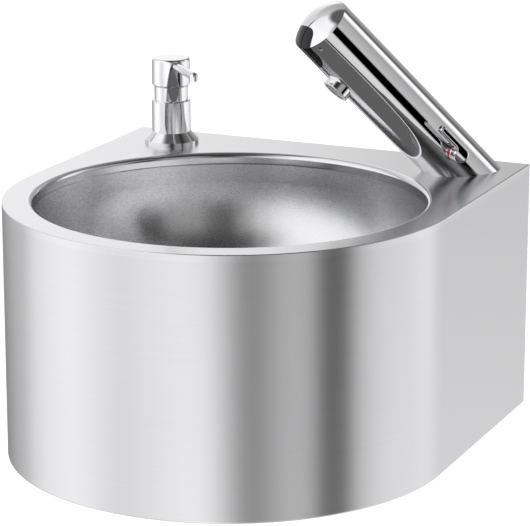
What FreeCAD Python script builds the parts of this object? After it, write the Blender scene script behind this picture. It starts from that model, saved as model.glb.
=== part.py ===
import FreeCAD, Part
import math
import os

# Wall-hung hand wash basin in stainless steel: a D-shaped body with a round bowl, an inclined
# sensor tap with a temperature lever at the back right, and a push soap dispenser at the back left.
# Millimetres. The origin is the centre of the four wall fixings, on the wall face.
# +X is to the right as the user stands before it, +Y goes into the wall and +Z is up.

V = FreeCAD.Vector
past = 1.0                    # how far a cutting tool runs past the face it opens
near_enough = 1e-4            # for finding the edges that lie at one height

# ---------------------------------------------------------------- driving dimensions: basin body
basin_radius = 190.0          # outer radius of the round front, half the width
bowl_centre_to_wall = 217.0   # wall face to the axis of the front curve and of the bowl
body_height = 220.0
deck_above_origin = 110.0
sheet = 1.5                   # steel of deck, bowl and apron
deck_edge_radius = 0.8        # ground edge between deck and walls
deck_lip = 6.0                # down-turned edge of the deck
hem_width = 15.0              # turned-in edge along the foot of the apron
hem_radius = 2.0

# ---------------------------------------------------------------- bowl
front_land = 21.0             # flat of the deck between the front edge and the roll into the bowl
rim_roll = 4.5                # radius of that roll, on the visible side
rim_depth = 9.0               # deck face to the weld between rim and bowl
bowl_depth = 130.0            # deck face to the edge of the waste recess
bowl_wall_draft = 3.0         # how much the wall comes in before the bottom curve
bowl_corner_radius = 104.0
bowl_floor_fall = 9.0         # fall of the floor towards the waste
recess_radius = 35.0
recess_depth = 3.5
waste_hole_radius = 22.0

# ---------------------------------------------------------------- back plate and wall fixings
back_sheet = 2.0
fixing_spacing_x = 200.0
fixing_spacing_z = 130.0
fixing_hole_radius = 5.0
pad_width = 40.0
pad_thickness = 3.0
pad_margin = 20.0             # pad beyond the hole centres, up and down
service_width = 130.0
service_height = 110.0
service_bottom = 12.0         # lower edge of the opening above the hem
service_corner = 12.0

# ---------------------------------------------------------------- tap and dispenser positions
tap_to_side = 48.0            # tap axis, in from the right side wall
tap_to_wall = 45.0
dispenser_to_side = 53.6      # dispenser axis, in from the left side wall
dispenser_to_wall = 48.0
plate_radius = 40.0           # steel plates that stiffen the deck under both
plate_thickness = 3.0

# ---------------------------------------------------------------- tap body
tap_radius = 26.5
tap_wall = 3.0
tap_tilt = 45.0               # slope of the tap above the deck
tap_length = 196.5            # deck to cap seam, along the axis
dome_height = 10.0
dome_shell = 2.5
spigot_length = 8.5
spigot_wall = 2.0
base_seal = 1.0               # seal inside the foot of the tube, between the brass foot and the deck
slip = 0.05                   # clearance all round a piece that slides into another
foot_top = 46.0               # top face of the solid foot, along the axis
shank_radius = 16.0
shank_bore = 13.0
shank_grip = 6.0              # how far the shank reaches into the foot
shank_drop = 40.0             # shank below the deck
deck_hole_slack = 1.0
inlet_radius = 4.46
inlet_depth = 10.0
inlet_offset = 6.3
clamp_seal = 2.0
clamp_washer = 2.5
clamp_radius = 27.0
tap_nut_radius = 24.0
tap_nut_height = 10.0

# ---------------------------------------------------------------- sensor window in the tap's head
window_half_width = 13.5
window_reach = 25.5           # seam of the cap to the lower end of the window
window_top = 9.5              # its upper edge on the dome, this far below the axis
window_corner = 6.0
window_thickness = 2.2
window_recess = 0.15
sensor_margin = 1.5
sensor_back = 6.0             # flat back of the sensor block, this far below the axis

# ---------------------------------------------------------------- outlet
outlet_below_seam = 51.7      # seam of the cap to the axis of the outlet
collar_radius = 12.0
collar_reach = 31.5           # tap axis to the mouth
collar_seat = 19.0            # tap axis to the seat of the collar
collar_wall = 1.8
collar_shoulder = 3.0
mouth_recess = 1.4
mouth_cup = 1.0               # hollow in the face of the outlet insert
collar_edge = 0.6
jet_count = 8
jet_radius = 1.1
jet_ring = 5.0                # radius of the ring of jets in the outlet
socket_wall = 2.5
socket_floor = 3.5
pipe_radius = 4.5
pipe_bore = 3.3
pipe_bend = 8.0
pipe_seat = 1.0               # lower end of the pipe above the valve body

# ---------------------------------------------------------------- pieces inside the tap
valve_height = 12.0
coil_radius = 11.0
coil_height = 30.0
coil_offset = 10.5
coil_edge = 1.0
valve_socket = 8.0
valve_socket_wall = 1.5
battery_width = 34.0
battery_depth = 17.0
battery_length = 45.0
battery_above_coil = 8.0
sensor_gap = 0.2

# ---------------------------------------------------------------- temperature lever
lever_station = 33.3          # lever axis, along the tap axis
cartridge_radius = 7.5
cartridge_far = 14.0          # inner end of the cartridge beyond the tap axis
cartridge_near = 19.0
bezel_proud = 7.5             # fixed ring under the lever, out from the side of the tube
bezel_edge = 0.4
spindle_radius = 3.0
spindle_inner = 8.0
spindle_grip = 5.5
spindle_flat = 2.6            # flat for the set screw, from the spindle's axis
lever_gap = 0.4               # under the hub
hub_radius = 7.3
hub_height = 8.0
arm_rise = 2.6                # underside of the arm above the underside of the hub
arm_width = 6.6
arm_length = 32.4             # hub axis to the tip
arm_tip_round = 2.9
arm_hollow = 5.0              # hollow where the arm's lower edge runs into the hub
lever_crown = 26.0            # radius of the curved outer face
lever_edge = 2.2
lever_screw_radius = 1.25
lever_screw_sunk = 0.5
marker_low = 2.5              # lower edge of the hot and cold marks, out from the side of the tube
marker_height = 3.5
marker_depth = 0.6
marker_start = 15.0           # from the upper side of the ring, degrees
marker_sweep = 85.0

# ---------------------------------------------------------------- cap screw
cap_screw_radius = 2.0
cap_screw_below_seam = 5.5
cap_screw_angle = -45.0       # round the axis, from the lever side towards the underside
cap_screw_sunk = 0.8

# ---------------------------------------------------------------- soap dispenser, heights from the deck
gasket_height = 1.0
flange_radius = 24.5
flange_rim = 3.5
flange_skirt = 3.0            # rim of the flange that stands on the deck round the gasket
flange_top = 11.0
collar_outer = 17.4
dispenser_rise = 39.8         # top of the fixed collar
dispenser_edge = 0.6
sleeve_radius = 15.05
sleeve_wall = 1.4
sleeve_overlap = 13.0         # sleeve inside the collar at rest
sleeve_fit = 0.08
press_travel = 11.5
press_reserve = 1.0
cap_radius = 17.05
cap_height = 25.9
cap_chamfer = 2.0
cap_edge = 1.8
spout_radius = 3.7
spout_bore = 1.8
spout_reach = 63.3
spout_below_top = 5.9
spout_heading = -45.4         # degrees from +X, towards the bowl
tip_drop = 4.2
threaded_radius = 12.5
threaded_bore = 9.6
threaded_head = 3.0
threaded_head_radius = 16.3
threaded_drop = 48.0
washer_height = 2.0
nut_radius = 20.0
nut_height = 8.0
barrel_radius = 9.5
barrel_wall = 2.4
barrel_rim = 2.0
barrel_rim_radius = 12.0
barrel_drop = 70.0
barrel_floor = 4.0
barrel_shoulder = 1.0         # bore ends this far under the seat of the rim
stem_radius = 4.0
stem_socket = 12.0
stem_fit = 0.06
stem_collar_radius = 9.5
stem_collar_height = 2.0
stem_collar_gap = 1.0         # under the push cap
piston_height = 10.0
piston_drop = 10.0
spring_radius = 7.6
spring_wire = 0.55
spring_turns = 6
dip_radius = 3.0
dip_bore = 2.0
dip_clearance = 6.0
bottle_radius = 34.0
bottle_wall = 1.5
bottle_neck_wall = 3.0
bottle_neck_top = 30.0        # below the deck
bottle_shoulder = 66.0
bottle_bottom = 176.0
bottle_base_round = 4.0

# ---------------------------------------------------------------- waste
waste_seal = 1.0
waste_seal_margin = 1.0       # seals end this far inside the pieces that press them
grid_radius = 33.0
grid_thickness = 2.5
grid_hole_radius = 3.0
grid_inner_ring = 12.5        # radius of the inner ring of holes
grid_outer_ring = 21.0
grid_inner_holes = 6
grid_outer_holes = 12
lower_seal = 3.0
tail_flange_radius = 31.0
tail_flange = 3.5
tail_cone = 2.0               # slope under the flange
tail_radius = 20.95
tail_wall = 2.4
tail_length = 66.0
bridge_width = 12.0
bridge_drop = 10.0
bridge_height = 6.0
waste_screw_radius = 3.0
waste_screw_head = 6.0
waste_screw_head_height = 1.6
waste_screw_head_round = 0.5
waste_screw_slot = 1.2
waste_screw_slot_depth = 0.8
waste_screw_beyond = 1.0      # end of the screw under the bridge

# ---------------------------------------------------------------- values worked out from these
bowl_rim_radius = basin_radius - front_land  # where the deck starts to roll into the bowl
tap_x = basin_radius - tap_to_side
tap_y = -tap_to_wall
disp_x = dispenser_to_side - basin_radius
disp_y = -dispenser_to_wall
window_tip = tap_length - window_reach       # these three are stations down from its top
outlet_station = tap_length - outlet_below_seam
cap_screw_station = tap_length - cap_screw_below_seam
battery_station = foot_top + valve_height + coil_height + battery_above_coil
deck_top = deck_above_origin
deck_under = deck_top - sheet
foot_z = deck_top - body_height
bowl_y = -bowl_centre_to_wall
rim_inner = bowl_rim_radius - rim_roll
weld_z = deck_top - rim_depth
recess_edge_z = deck_top - bowl_depth
seat_z = recess_edge_z - recess_depth
plate_under = deck_under - plate_thickness
tap_bore = tap_radius - tap_wall
lever_face = tap_radius + bezel_proud + lever_gap
collar_inner = collar_radius - collar_wall
socket_top = collar_seat - socket_floor
pipe_level = socket_top - pipe_bend          # pipe axis below the tap axis


# ---------------------------------------------------------------- helpers
def cylinder(radius, z_low, z_high, x=0.0, y=0.0):
    return Part.makeCylinder(radius, z_high - z_low, V(x, y, z_low))


def ring(outer, inner, z_low, z_high, x=0.0, y=0.0):
    return cylinder(outer, z_low, z_high, x, y).cut(cylinder(inner, z_low - past, z_high + past, x, y))


def box(x_low, x_high, y_low, y_high, z_low, z_high):
    return Part.makeBox(x_high - x_low, y_high - y_low, z_high - z_low, V(x_low, y_low, z_low))


def turned(profile, x=0.0, y=0.0):
    """Solid of revolution about the upright axis at x, y; the profile is a list of (radius, z)."""
    points = [V(r, 0, z) for r, z in profile]
    face = Part.Face(Part.makePolygon(points + points[:1]))
    solid = face.revolve(V(0, 0, 0), V(0, 0, 1), 360)
    solid.translate(V(x, y, 0))
    return solid


def rounded_outline(corners, radii):
    """Open or closed run of lines whose corners are rounded; corners are (u, v) pairs."""
    edges = []
    last = V(*corners[0], 0)
    for (before, here, after), radius in zip(zip(corners, corners[1:], corners[2:]), radii):
        here = V(*here, 0)
        towards = V(*before, 0).sub(here).normalize()
        away = V(*after, 0).sub(here).normalize()
        half = towards.getAngle(away) / 2
        reach = radius / math.tan(half)
        start = here + towards * reach
        end = here + away * reach
        middle_way = (towards + away).normalize()
        middle = here + middle_way * (radius / math.sin(half) - radius)
        edges.append(Part.LineSegment(last, start).toShape())
        edges.append(Part.Arc(start, middle, end).toShape())
        last = end
    edges.append(Part.LineSegment(last, V(*corners[-1], 0)).toShape())
    return edges


def offset_corners(corners, distance):
    """Corners of the run that lies at a distance to the left of each line."""
    def shifted(p, q):
        along = V(q[0] - p[0], q[1] - p[1], 0).normalize()
        side = V(-along.y, along.x, 0) * distance
        return V(*p, 0) + side, V(*q, 0) + side, along
    lines = [shifted(p, q) for p, q in zip(corners, corners[1:])]
    points = [lines[0][0]]
    for (a, _, u), (b, _, w) in zip(lines, lines[1:]):
        across = u.x * w.y - u.y * w.x
        gap = b - a
        points.append(a + u * ((gap.x * w.y - gap.y * w.x) / across))
    points.append(lines[-1][1])
    return [(p.x, p.y) for p in points]


def bent_sheet(corners, radii, thickness):
    """Face of a bent sheet: the run given, and the same run moved to its left."""
    far_corners = offset_corners(corners, thickness)
    far_radii = []
    for p, q, r, radius in zip(corners, corners[1:], corners[2:], radii):
        turn = (q[0] - p[0]) * (r[1] - q[1]) - (q[1] - p[1]) * (r[0] - q[0])
        far_radii.append(radius - thickness if turn > 0 else radius + thickness)
    near = rounded_outline(corners, radii)
    far = rounded_outline(far_corners, far_radii)
    ends = [Part.LineSegment(V(*corners[i], 0), V(*far_corners[i], 0)).toShape() for i in (0, -1)]
    return Part.Face(Part.Wire(Part.__sortEdges__(near + far + ends)))


def stand_up(shape):
    """Turn a shape drawn in X and Y so that its Y becomes Z."""
    shape.rotate(V(0, 0, 0), V(1, 0, 0), 90)
    return shape


def rounded_slab(width, height, radius, thickness):
    """Upright plate with rounded corners, centred on the origin, from y = -thickness to 0."""
    body = box(-width / 2, width / 2, -thickness, 0, -height / 2, height / 2)
    upright = [e for e in body.Edges if abs(e.tangentAt(e.FirstParameter).y) > 0.99]
    return body.makeFillet(radius, upright)


def hexagon(across_corners, z_low, z_high, x, y):
    points = [V(x + across_corners * math.cos(math.radians(60 * i)),
                y + across_corners * math.sin(math.radians(60 * i)), z_low) for i in range(7)]
    return Part.Face(Part.makePolygon(points)).extrude(V(0, 0, z_high - z_low))


def d_prism(inset, back_y, z_low, z_high):
    """The body's plan, moved inwards, as a solid between two heights."""
    r = basin_radius - inset
    front = Part.Arc(V(-r, bowl_y, z_low), V(0, bowl_y - r, z_low), V(r, bowl_y, z_low)).toShape()
    right = Part.LineSegment(V(r, bowl_y, z_low), V(r, back_y, z_low)).toShape()
    back = Part.LineSegment(V(r, back_y, z_low), V(-r, back_y, z_low)).toShape()
    left = Part.LineSegment(V(-r, back_y, z_low), V(-r, bowl_y, z_low)).toShape()
    return Part.Face(Part.Wire([front, right, back, left])).extrude(V(0, 0, z_high - z_low))


def edges_at(shape, z):
    """Edges that lie wholly at one height."""
    return [e for e in shape.Edges
            if abs(e.BoundBox.ZMin - z) < near_enough and abs(e.BoundBox.ZMax - z) < near_enough]


# ---------------------------------------------------------------- basin body
def make_deck():
    outer = d_prism(0, 0, deck_top - deck_lip, deck_top)
    outer = outer.makeFillet(deck_edge_radius, edges_at(outer, deck_top))
    hollow = d_prism(sheet, -sheet, deck_top - deck_lip - past, deck_under)
    deck = outer.cut(hollow).cut(cylinder(bowl_rim_radius, foot_z, deck_top + past, 0, bowl_y))
    roll = bent_sheet([(rim_inner, weld_z), (rim_inner, deck_top), (bowl_rim_radius + past, deck_top)],
                      [rim_roll], -sheet)
    roll = stand_up(roll).revolve(V(0, 0, 0), V(0, 0, 1), 360)
    roll.translate(V(0, bowl_y, 0))
    deck = deck.fuse(roll).removeSplitter()
    for x, y, radius in ((tap_x, tap_y, shank_radius), (disp_x, disp_y, threaded_radius)):
        deck = deck.cut(cylinder(radius + deck_hole_slack, foot_z, deck_top + past, x, y))
    return deck


def make_bowl():
    foot_r = rim_inner - bowl_wall_draft
    corners = [(rim_inner, weld_z), (foot_r, recess_edge_z + bowl_floor_fall),
               (recess_radius, recess_edge_z), (recess_radius - recess_depth / 2, seat_z),
               (waste_hole_radius, seat_z)]
    profile = bent_sheet(corners, [bowl_corner_radius, 2 * sheet, sheet], sheet)
    bowl = stand_up(profile).revolve(V(0, 0, 0), V(0, 0, 1), 360)
    bowl.translate(V(0, bowl_y, 0))
    return bowl


def make_apron():
    """Front and side walls with their turned-in hem; the back is left open for the back plate."""
    top = deck_top - deck_lip
    outer = d_prism(0, 0, foot_z, top)
    outer = outer.makeFillet(hem_radius, [e for e in edges_at(outer, foot_z) if e.BoundBox.YMin < -past])
    hollow = d_prism(sheet, past, foot_z + sheet, top + past)
    inside_bend = [e for e in edges_at(hollow, foot_z + sheet) if e.BoundBox.YMin < 0]
    hollow = hollow.makeFillet(hem_radius - sheet, inside_bend)
    mouth = d_prism(hem_width, past, foot_z - past, foot_z + sheet + past)
    return outer.cut(hollow).cut(mouth)


def fixing_holes(y_low, y_high):
    holes = []
    for x in (-fixing_spacing_x / 2, fixing_spacing_x / 2):
        for z in (-fixing_spacing_z / 2, fixing_spacing_z / 2):
            holes.append(Part.makeCylinder(fixing_hole_radius, y_high - y_low, V(x, y_low, z), V(0, 1, 0)))
    return Part.makeCompound(holes)


def make_back_plate():
    half = basin_radius - sheet
    plate = box(-half, half, -back_sheet, 0, foot_z + hem_radius, deck_top - deck_lip)
    opening = rounded_slab(service_width, service_height, service_corner, 3 * back_sheet)
    opening.translate(V(0, back_sheet, foot_z + hem_radius + service_bottom + service_height / 2))
    return plate.cut(opening).cut(fixing_holes(-3 * back_sheet, back_sheet))


def make_fixing_pads():
    height = fixing_spacing_z + 2 * pad_margin
    pads = []
    for side in (-1, 1):
        pad = rounded_slab(pad_width, height, pad_width / 5, pad_thickness)
        pad.translate(V(side * fixing_spacing_x / 2, -back_sheet, 0))
        pads.append(pad.cut(fixing_holes(-4 * pad_thickness, past)))
    return Part.makeCompound(pads)


def make_stiffener(x, y, hole_radius):
    """Round steel plate under the deck."""
    return ring(plate_radius, hole_radius, plate_under, deck_under, x, y)


# ---------------------------------------------------------------- waste
def make_waste_grid():
    low = seat_z + waste_seal
    high = low + grid_thickness
    grid = cylinder(grid_radius, low, high, 0, bowl_y)
    grid = grid.makeChamfer(grid_thickness / 3, edges_at(grid, high))
    for count, radius in ((grid_inner_holes, grid_inner_ring), (grid_outer_holes, grid_outer_ring)):
        for i in range(count):
            angle = 2 * math.pi * i / count
            hole = cylinder(grid_hole_radius, low - past, high + past,
                            radius * math.cos(angle), bowl_y + radius * math.sin(angle))
            grid = grid.cut(hole)
    grid = grid.cut(cylinder(waste_screw_radius + slip, low - past, high + past, 0, bowl_y))
    return grid.cut(cylinder(waste_screw_head, high - waste_screw_head_height, high + past, 0, bowl_y))


def make_waste_upper_seal():
    return ring(grid_radius - waste_seal_margin, waste_hole_radius + waste_seal_margin,
                seat_z, seat_z + waste_seal, 0, bowl_y)


def make_waste_lower_seal():
    top = seat_z - sheet
    return ring(tail_flange_radius - waste_seal_margin, tail_radius, top - lower_seal, top, 0, bowl_y)


def make_waste_tail():
    top = seat_z - sheet - lower_seal
    bore = tail_radius - tail_wall
    tail = turned([(bore, top), (tail_flange_radius, top), (tail_flange_radius, top - tail_flange),
                   (tail_radius, top - tail_flange - tail_cone), (tail_radius, top - tail_length),
                   (bore, top - tail_length)], 0, bowl_y)
    wall_middle = (tail_radius + bore) / 2
    bridge = box(-wall_middle, wall_middle, bowl_y - bridge_width / 2, bowl_y + bridge_width / 2,
                 top - bridge_drop - bridge_height, top - bridge_drop)
    bridge = bridge.common(cylinder(wall_middle, top - tail_length, top, 0, bowl_y))
    tail = tail.fuse(bridge)
    return tail.cut(cylinder(waste_screw_radius, top - tail_length, top + past, 0, bowl_y))


def make_waste_screw():
    head_top = seat_z + waste_seal + grid_thickness
    head_low = head_top - waste_screw_head_height
    end = seat_z - sheet - lower_seal - bridge_drop - bridge_height - waste_screw_beyond
    screw = cylinder(waste_screw_radius, end, head_low, 0, bowl_y)
    head = cylinder(waste_screw_head - 2 * slip, head_low, head_top, 0, bowl_y)
    head = head.makeFillet(waste_screw_head_round, edges_at(head, head_top))
    half = waste_screw_slot / 2
    slot = box(-waste_screw_head, waste_screw_head, bowl_y - half, bowl_y + half,
               head_top - waste_screw_slot_depth, head_top + past)
    return screw.fuse(head).cut(slot)


# ---------------------------------------------------------------- tap, drawn along its own axis
# In the tap's own frame +Z runs up its axis from the deck, +X points to the lever and -Y is the underside.
tilt = math.radians(tap_tilt)
tap_base = V(tap_x, tap_y, deck_top)
heading = V(-tap_x, bowl_y - tap_y, 0).normalize()
tap_axis = heading * math.cos(tilt) + V(0, 0, math.sin(tilt))
lever_way = V(-heading.y, heading.x, 0)
tap_top_way = tap_axis.cross(lever_way)
tap_place = FreeCAD.Placement(tap_base, FreeCAD.Rotation(lever_way, tap_top_way, tap_axis, "ZXY"))


def on_tap(shape):
    shape.Placement = tap_place.multiply(shape.Placement)
    return shape


def above_deck(shape, height):
    """Trim a placed shape to what stands above a level over the deck."""
    span = 4 * tap_length
    return shape.cut(box(tap_x - span, tap_x + span, -span, span,
                         deck_top - span, deck_top + height))


def head_envelope(inset):
    """The tap's outside, tube and dome, moved inwards."""
    radius = tap_radius - inset
    ball = (tap_radius ** 2 + dome_height ** 2) / (2 * dome_height)
    centre = tap_length + dome_height - ball
    tube = cylinder(radius, -tap_radius * 2, tap_length)
    sphere = Part.makeSphere(ball - inset, V(0, 0, centre))
    dome = cylinder(radius, tap_length, tap_length + dome_height).common(sphere)
    return tube.fuse(dome)


def window_block(shrink):
    """Block that cuts the window's outline out of the head, moved inwards on all sides."""
    half = window_half_width - shrink
    far = tap_length + 2 * dome_height
    low = -2 * tap_radius
    round_end = window_tip + window_half_width
    side = box(-half, half, low, 0, round_end, far)
    end = Part.makeCylinder(half, -low, V(0, low, round_end), V(0, 1, 0))
    plan = side.fuse(end)
    top = -window_top - shrink
    front = box(-half, half, low, top, 0, far)
    corners = [e for e in front.Edges
               if abs(e.tangentAt(e.FirstParameter).z) > 0.99 and abs(e.BoundBox.YMax - top) < near_enough]
    front = front.makeFillet(window_corner - shrink, corners)
    return plan.common(front)


def outlet_cylinder(radius, near, far):
    """Cylinder along the outlet's axis, between two distances from the tap's axis."""
    return Part.makeCylinder(radius, far - near, V(0, -near, outlet_station), V(0, -1, 0))


def lever_cylinder(radius, near, far):
    """Cylinder along the lever's axis, between two distances from the tap's axis."""
    return Part.makeCylinder(radius, far - near, V(near, 0, lever_station), V(1, 0, 0))


def cap_screw_hole(radius, near, far):
    angle = math.radians(cap_screw_angle)
    way = V(math.cos(angle), math.sin(angle), 0)
    return Part.makeCylinder(radius, far - near, way * near + V(0, 0, cap_screw_station), way)


def make_tap_body():
    tube = cylinder(tap_radius, -2 * tap_radius, tap_length)
    tube = tube.cut(cylinder(tap_bore, -3 * tap_radius, tap_length + past))
    socket = outlet_cylinder(collar_radius + socket_wall, socket_top, tap_radius)
    tube = tube.fuse(socket.common(cylinder((tap_radius + tap_bore) / 2, 0, tap_length)))
    tube = tube.cut(outlet_cylinder(collar_radius + slip, collar_seat, 2 * tap_radius))
    tube = tube.cut(outlet_cylinder(pipe_radius + slip, 0, collar_seat + past))
    tube = tube.cut(lever_cylinder(cartridge_radius, 0, 2 * tap_radius))
    tube = tube.cut(cap_screw_hole(cap_screw_radius, 0, 2 * tap_radius)).cut(window_block(0))
    return above_deck(on_tap(tube), 0)


def make_tap_base_seal():
    tube = on_tap(cylinder(tap_bore - slip, -3 * tap_radius, 3 * tap_radius))
    slab = box(0, 3 * tap_x, 4 * tap_y, 0, deck_top, deck_top + base_seal)
    return tube.common(slab).cut(cylinder(shank_radius + slip, foot_z, 2 * deck_top, tap_x, tap_y))


def make_tap_foot():
    block = cylinder(tap_bore - slip, -3 * tap_radius, foot_top)
    block = block.cut(lever_cylinder(cartridge_radius, -cartridge_far, tap_radius))
    foot = above_deck(on_tap(block), base_seal)
    foot = foot.cut(cylinder(shank_radius, foot_z, deck_top + shank_grip, tap_x, tap_y))
    for side in (-1, 1):
        port = tap_base + lever_way * (side * inlet_offset)
        foot = foot.cut(cylinder(inlet_radius, foot_z, deck_top + shank_grip + inlet_depth, port.x, port.y))
    return foot


def make_tap_shank():
    return ring(shank_radius, shank_bore, deck_top - shank_drop, deck_top + shank_grip, tap_x, tap_y)


def make_tap_clamp_seal():
    low = plate_under - clamp_seal
    return ring(clamp_radius, shank_radius + slip, low, plate_under, tap_x, tap_y)


def make_tap_clamp_washer():
    high = plate_under - clamp_seal
    return ring(clamp_radius, shank_radius + slip, high - clamp_washer, high, tap_x, tap_y)


def make_tap_nut():
    high = plate_under - clamp_seal - clamp_washer
    nut = hexagon(tap_nut_radius, high - tap_nut_height, high, tap_x, tap_y)
    return nut.cut(cylinder(shank_radius, foot_z, deck_top, tap_x, tap_y))


def make_tap_cap():
    hollow = head_envelope(dome_shell).cut(cylinder(2 * tap_radius, -3 * tap_radius, tap_length))
    bore = tap_bore - slip - spigot_wall
    spigot = ring(tap_bore - slip, bore, tap_length - spigot_length, tap_length)
    dome = head_envelope(0).cut(cylinder(2 * tap_radius, -3 * tap_radius, tap_length)).cut(hollow)
    cap = dome.fuse(spigot)
    return on_tap(cap.cut(window_block(0)).cut(cap_screw_hole(cap_screw_radius, 0, 2 * tap_radius)))


def make_sensor_window():
    shell = head_envelope(window_recess).cut(head_envelope(window_recess + window_thickness))
    return on_tap(shell.common(window_block(0)))


def make_sensor_module():
    inside = head_envelope(window_recess + window_thickness)
    block = inside.common(window_block(sensor_margin))
    return on_tap(block.cut(box(-tap_radius, tap_radius, -sensor_back, tap_radius, 0, 2 * tap_length)))


def make_cap_screw():
    near = tap_bore - slip - spigot_wall
    far = tap_radius - cap_screw_sunk
    screw = cap_screw_hole(cap_screw_radius, near, far)
    return on_tap(screw.cut(cap_screw_hole(cap_screw_radius / 2, far - cap_screw_radius, tap_radius)))


def make_aerator_collar():
    collar = outlet_cylinder(collar_radius, collar_seat, collar_reach)
    rim = [e for e in collar.Edges if abs(e.BoundBox.YMax + collar_reach) < near_enough]
    collar = collar.makeFillet(collar_edge, rim)
    collar = collar.cut(outlet_cylinder(collar_inner, collar_seat + collar_shoulder, 2 * collar_reach))
    return on_tap(collar.cut(outlet_cylinder(collar_inner - collar_wall, 0, collar_reach)))


def make_aerator_insert():
    near = collar_seat + collar_shoulder
    insert = outlet_cylinder(collar_inner - slip, near, collar_reach - mouth_recess)
    cup = outlet_cylinder(collar_inner - collar_wall, collar_reach - mouth_recess - mouth_cup, collar_reach)
    insert = insert.cut(cup)
    for i in range(jet_count):
        angle = 2 * math.pi * i / jet_count
        start = V(jet_ring * math.cos(angle), 0, outlet_station + jet_ring * math.sin(angle))
        hole = Part.makeCylinder(jet_radius, collar_reach, start, V(0, -1, 0))
        insert = insert.cut(hole)
    return on_tap(insert)


def make_outlet_pipe():
    start = foot_top + valve_height + pipe_seat
    bend_start = outlet_station - pipe_bend
    half = math.sqrt(0.5) * pipe_bend
    straight = Part.LineSegment(V(0, -pipe_level, start), V(0, -pipe_level, bend_start)).toShape()
    bend = Part.Arc(V(0, -pipe_level, bend_start),
                    V(0, -pipe_level - pipe_bend + half, bend_start + half),
                    V(0, -socket_top, outlet_station)).toShape()
    tail = Part.LineSegment(V(0, -socket_top, outlet_station), V(0, -collar_seat, outlet_station)).toShape()
    path = Part.Wire([straight, bend, tail])
    solids = []
    for radius in (pipe_radius, pipe_bore):
        circle = Part.Wire(Part.Circle(V(0, -pipe_level, start), V(0, 0, 1), radius).toShape())
        solids.append(path.makePipeShell([circle], True, False))
    return on_tap(solids[0].cut(solids[1]))


def make_solenoid_valve():
    top = foot_top + valve_height
    body = cylinder(tap_bore - slip, foot_top, top)
    socket = cylinder(pipe_radius + valve_socket_wall, top, top + valve_socket, 0, -pipe_level)
    body = body.fuse(socket).cut(cylinder(pipe_radius, top + pipe_seat, tap_length, 0, -pipe_level))
    return on_tap(body)


def make_solenoid_coil():
    low = foot_top + valve_height
    coil = cylinder(coil_radius, low, low + coil_height, 0, coil_offset)
    return on_tap(coil.makeChamfer(coil_edge, edges_at(coil, low + coil_height)))


def make_battery():
    high = math.sqrt((tap_bore - sensor_gap) ** 2 - (battery_width / 2) ** 2)
    block = box(-battery_width / 2, battery_width / 2, high - battery_depth, high,
                battery_station, battery_station + battery_length)
    return on_tap(block)


def make_cartridge():
    body = lever_cylinder(cartridge_radius - slip, -cartridge_far, cartridge_near)
    return on_tap(body.cut(lever_cylinder(spindle_radius + slip, spindle_inner, tap_radius)))


def marker(start_angle):
    """Slice let into the side of the bezel, from an angle measured from the tap's axis."""
    low = tap_radius + marker_low
    radius = cartridge_radius - slip
    piece = lever_cylinder(radius, low, low + marker_height)
    piece = piece.cut(lever_cylinder(radius - marker_depth, 0, 2 * tap_radius))
    points = [V(low, 0, lever_station)]
    for k in range(3):
        angle = math.radians(start_angle + marker_sweep * k / 2)
        points.append(points[0] + V(0, math.sin(angle), math.cos(angle)) * (3 * radius))
    wedge = Part.Face(Part.makePolygon(points + points[:1])).extrude(V(marker_height, 0, 0))
    return piece.common(wedge)


def hot_marker():
    return marker(-marker_start - marker_sweep)


def cold_marker():
    return marker(marker_start)


def make_control_bezel():
    top = tap_radius + bezel_proud
    bezel = lever_cylinder(cartridge_radius - slip, cartridge_near, top)
    rim = [e for e in bezel.Edges if abs(e.BoundBox.XMin - top) < near_enough]
    bezel = bezel.makeChamfer(bezel_edge, rim)
    bezel = bezel.cut(lever_cylinder(spindle_radius + slip, 0, 2 * tap_radius))
    return on_tap(bezel.cut(hot_marker()).cut(cold_marker()))


# The lever is drawn flat: its hub at the origin, its arm along +Y and its outer face up.
def on_lever(shape):
    shape.Placement = FreeCAD.Placement(V(lever_face, 0, lever_station), FreeCAD.Rotation(V(1, 1, 1), 120))
    return on_tap(shape)


def make_spindle():
    spindle = cylinder(spindle_radius, spindle_inner - lever_face, spindle_grip)
    flat = box(-spindle_radius, spindle_radius, -2 * spindle_radius, -spindle_flat, 0, spindle_grip)
    return on_lever(spindle.cut(flat))


def lever_plan():
    """Plan of the lever: a round hub, a straight upper edge and a hollow lower edge."""
    lower = hub_radius - arm_width
    hollow_x = lower - arm_hollow
    hollow_y = math.sqrt((hub_radius + arm_hollow) ** 2 - hollow_x ** 2)
    hollow = V(hollow_x, hollow_y, 0)
    to_hub = V(-hollow_x, -hollow_y, 0).normalize()
    join = hollow + to_hub * arm_hollow
    hollow_middle = hollow + (to_hub + V(1, 0, 0)).normalize() * arm_hollow
    slant = hub_radius * math.sqrt(0.5)
    edges = rounded_outline([(lower, hollow_y), (lower, arm_length), (hub_radius, arm_length), (hub_radius, 0)],
                            [arm_tip_round, arm_tip_round])
    edges.append(Part.Arc(V(hub_radius, 0, 0), V(-slant, -slant, 0), join).toShape())
    edges.append(Part.Arc(join, hollow_middle, V(lower, hollow_y, 0)).toShape())
    return Part.Face(Part.Wire(Part.__sortEdges__(edges)))


def lever_screw_hole(radius, near, far):
    """Cylinder across the hub at half the depth of the spindle's grip, on the side towards the deck."""
    return Part.makeCylinder(radius, far - near, V(0, -near, spindle_grip / 2), V(0, -1, 0))


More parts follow.
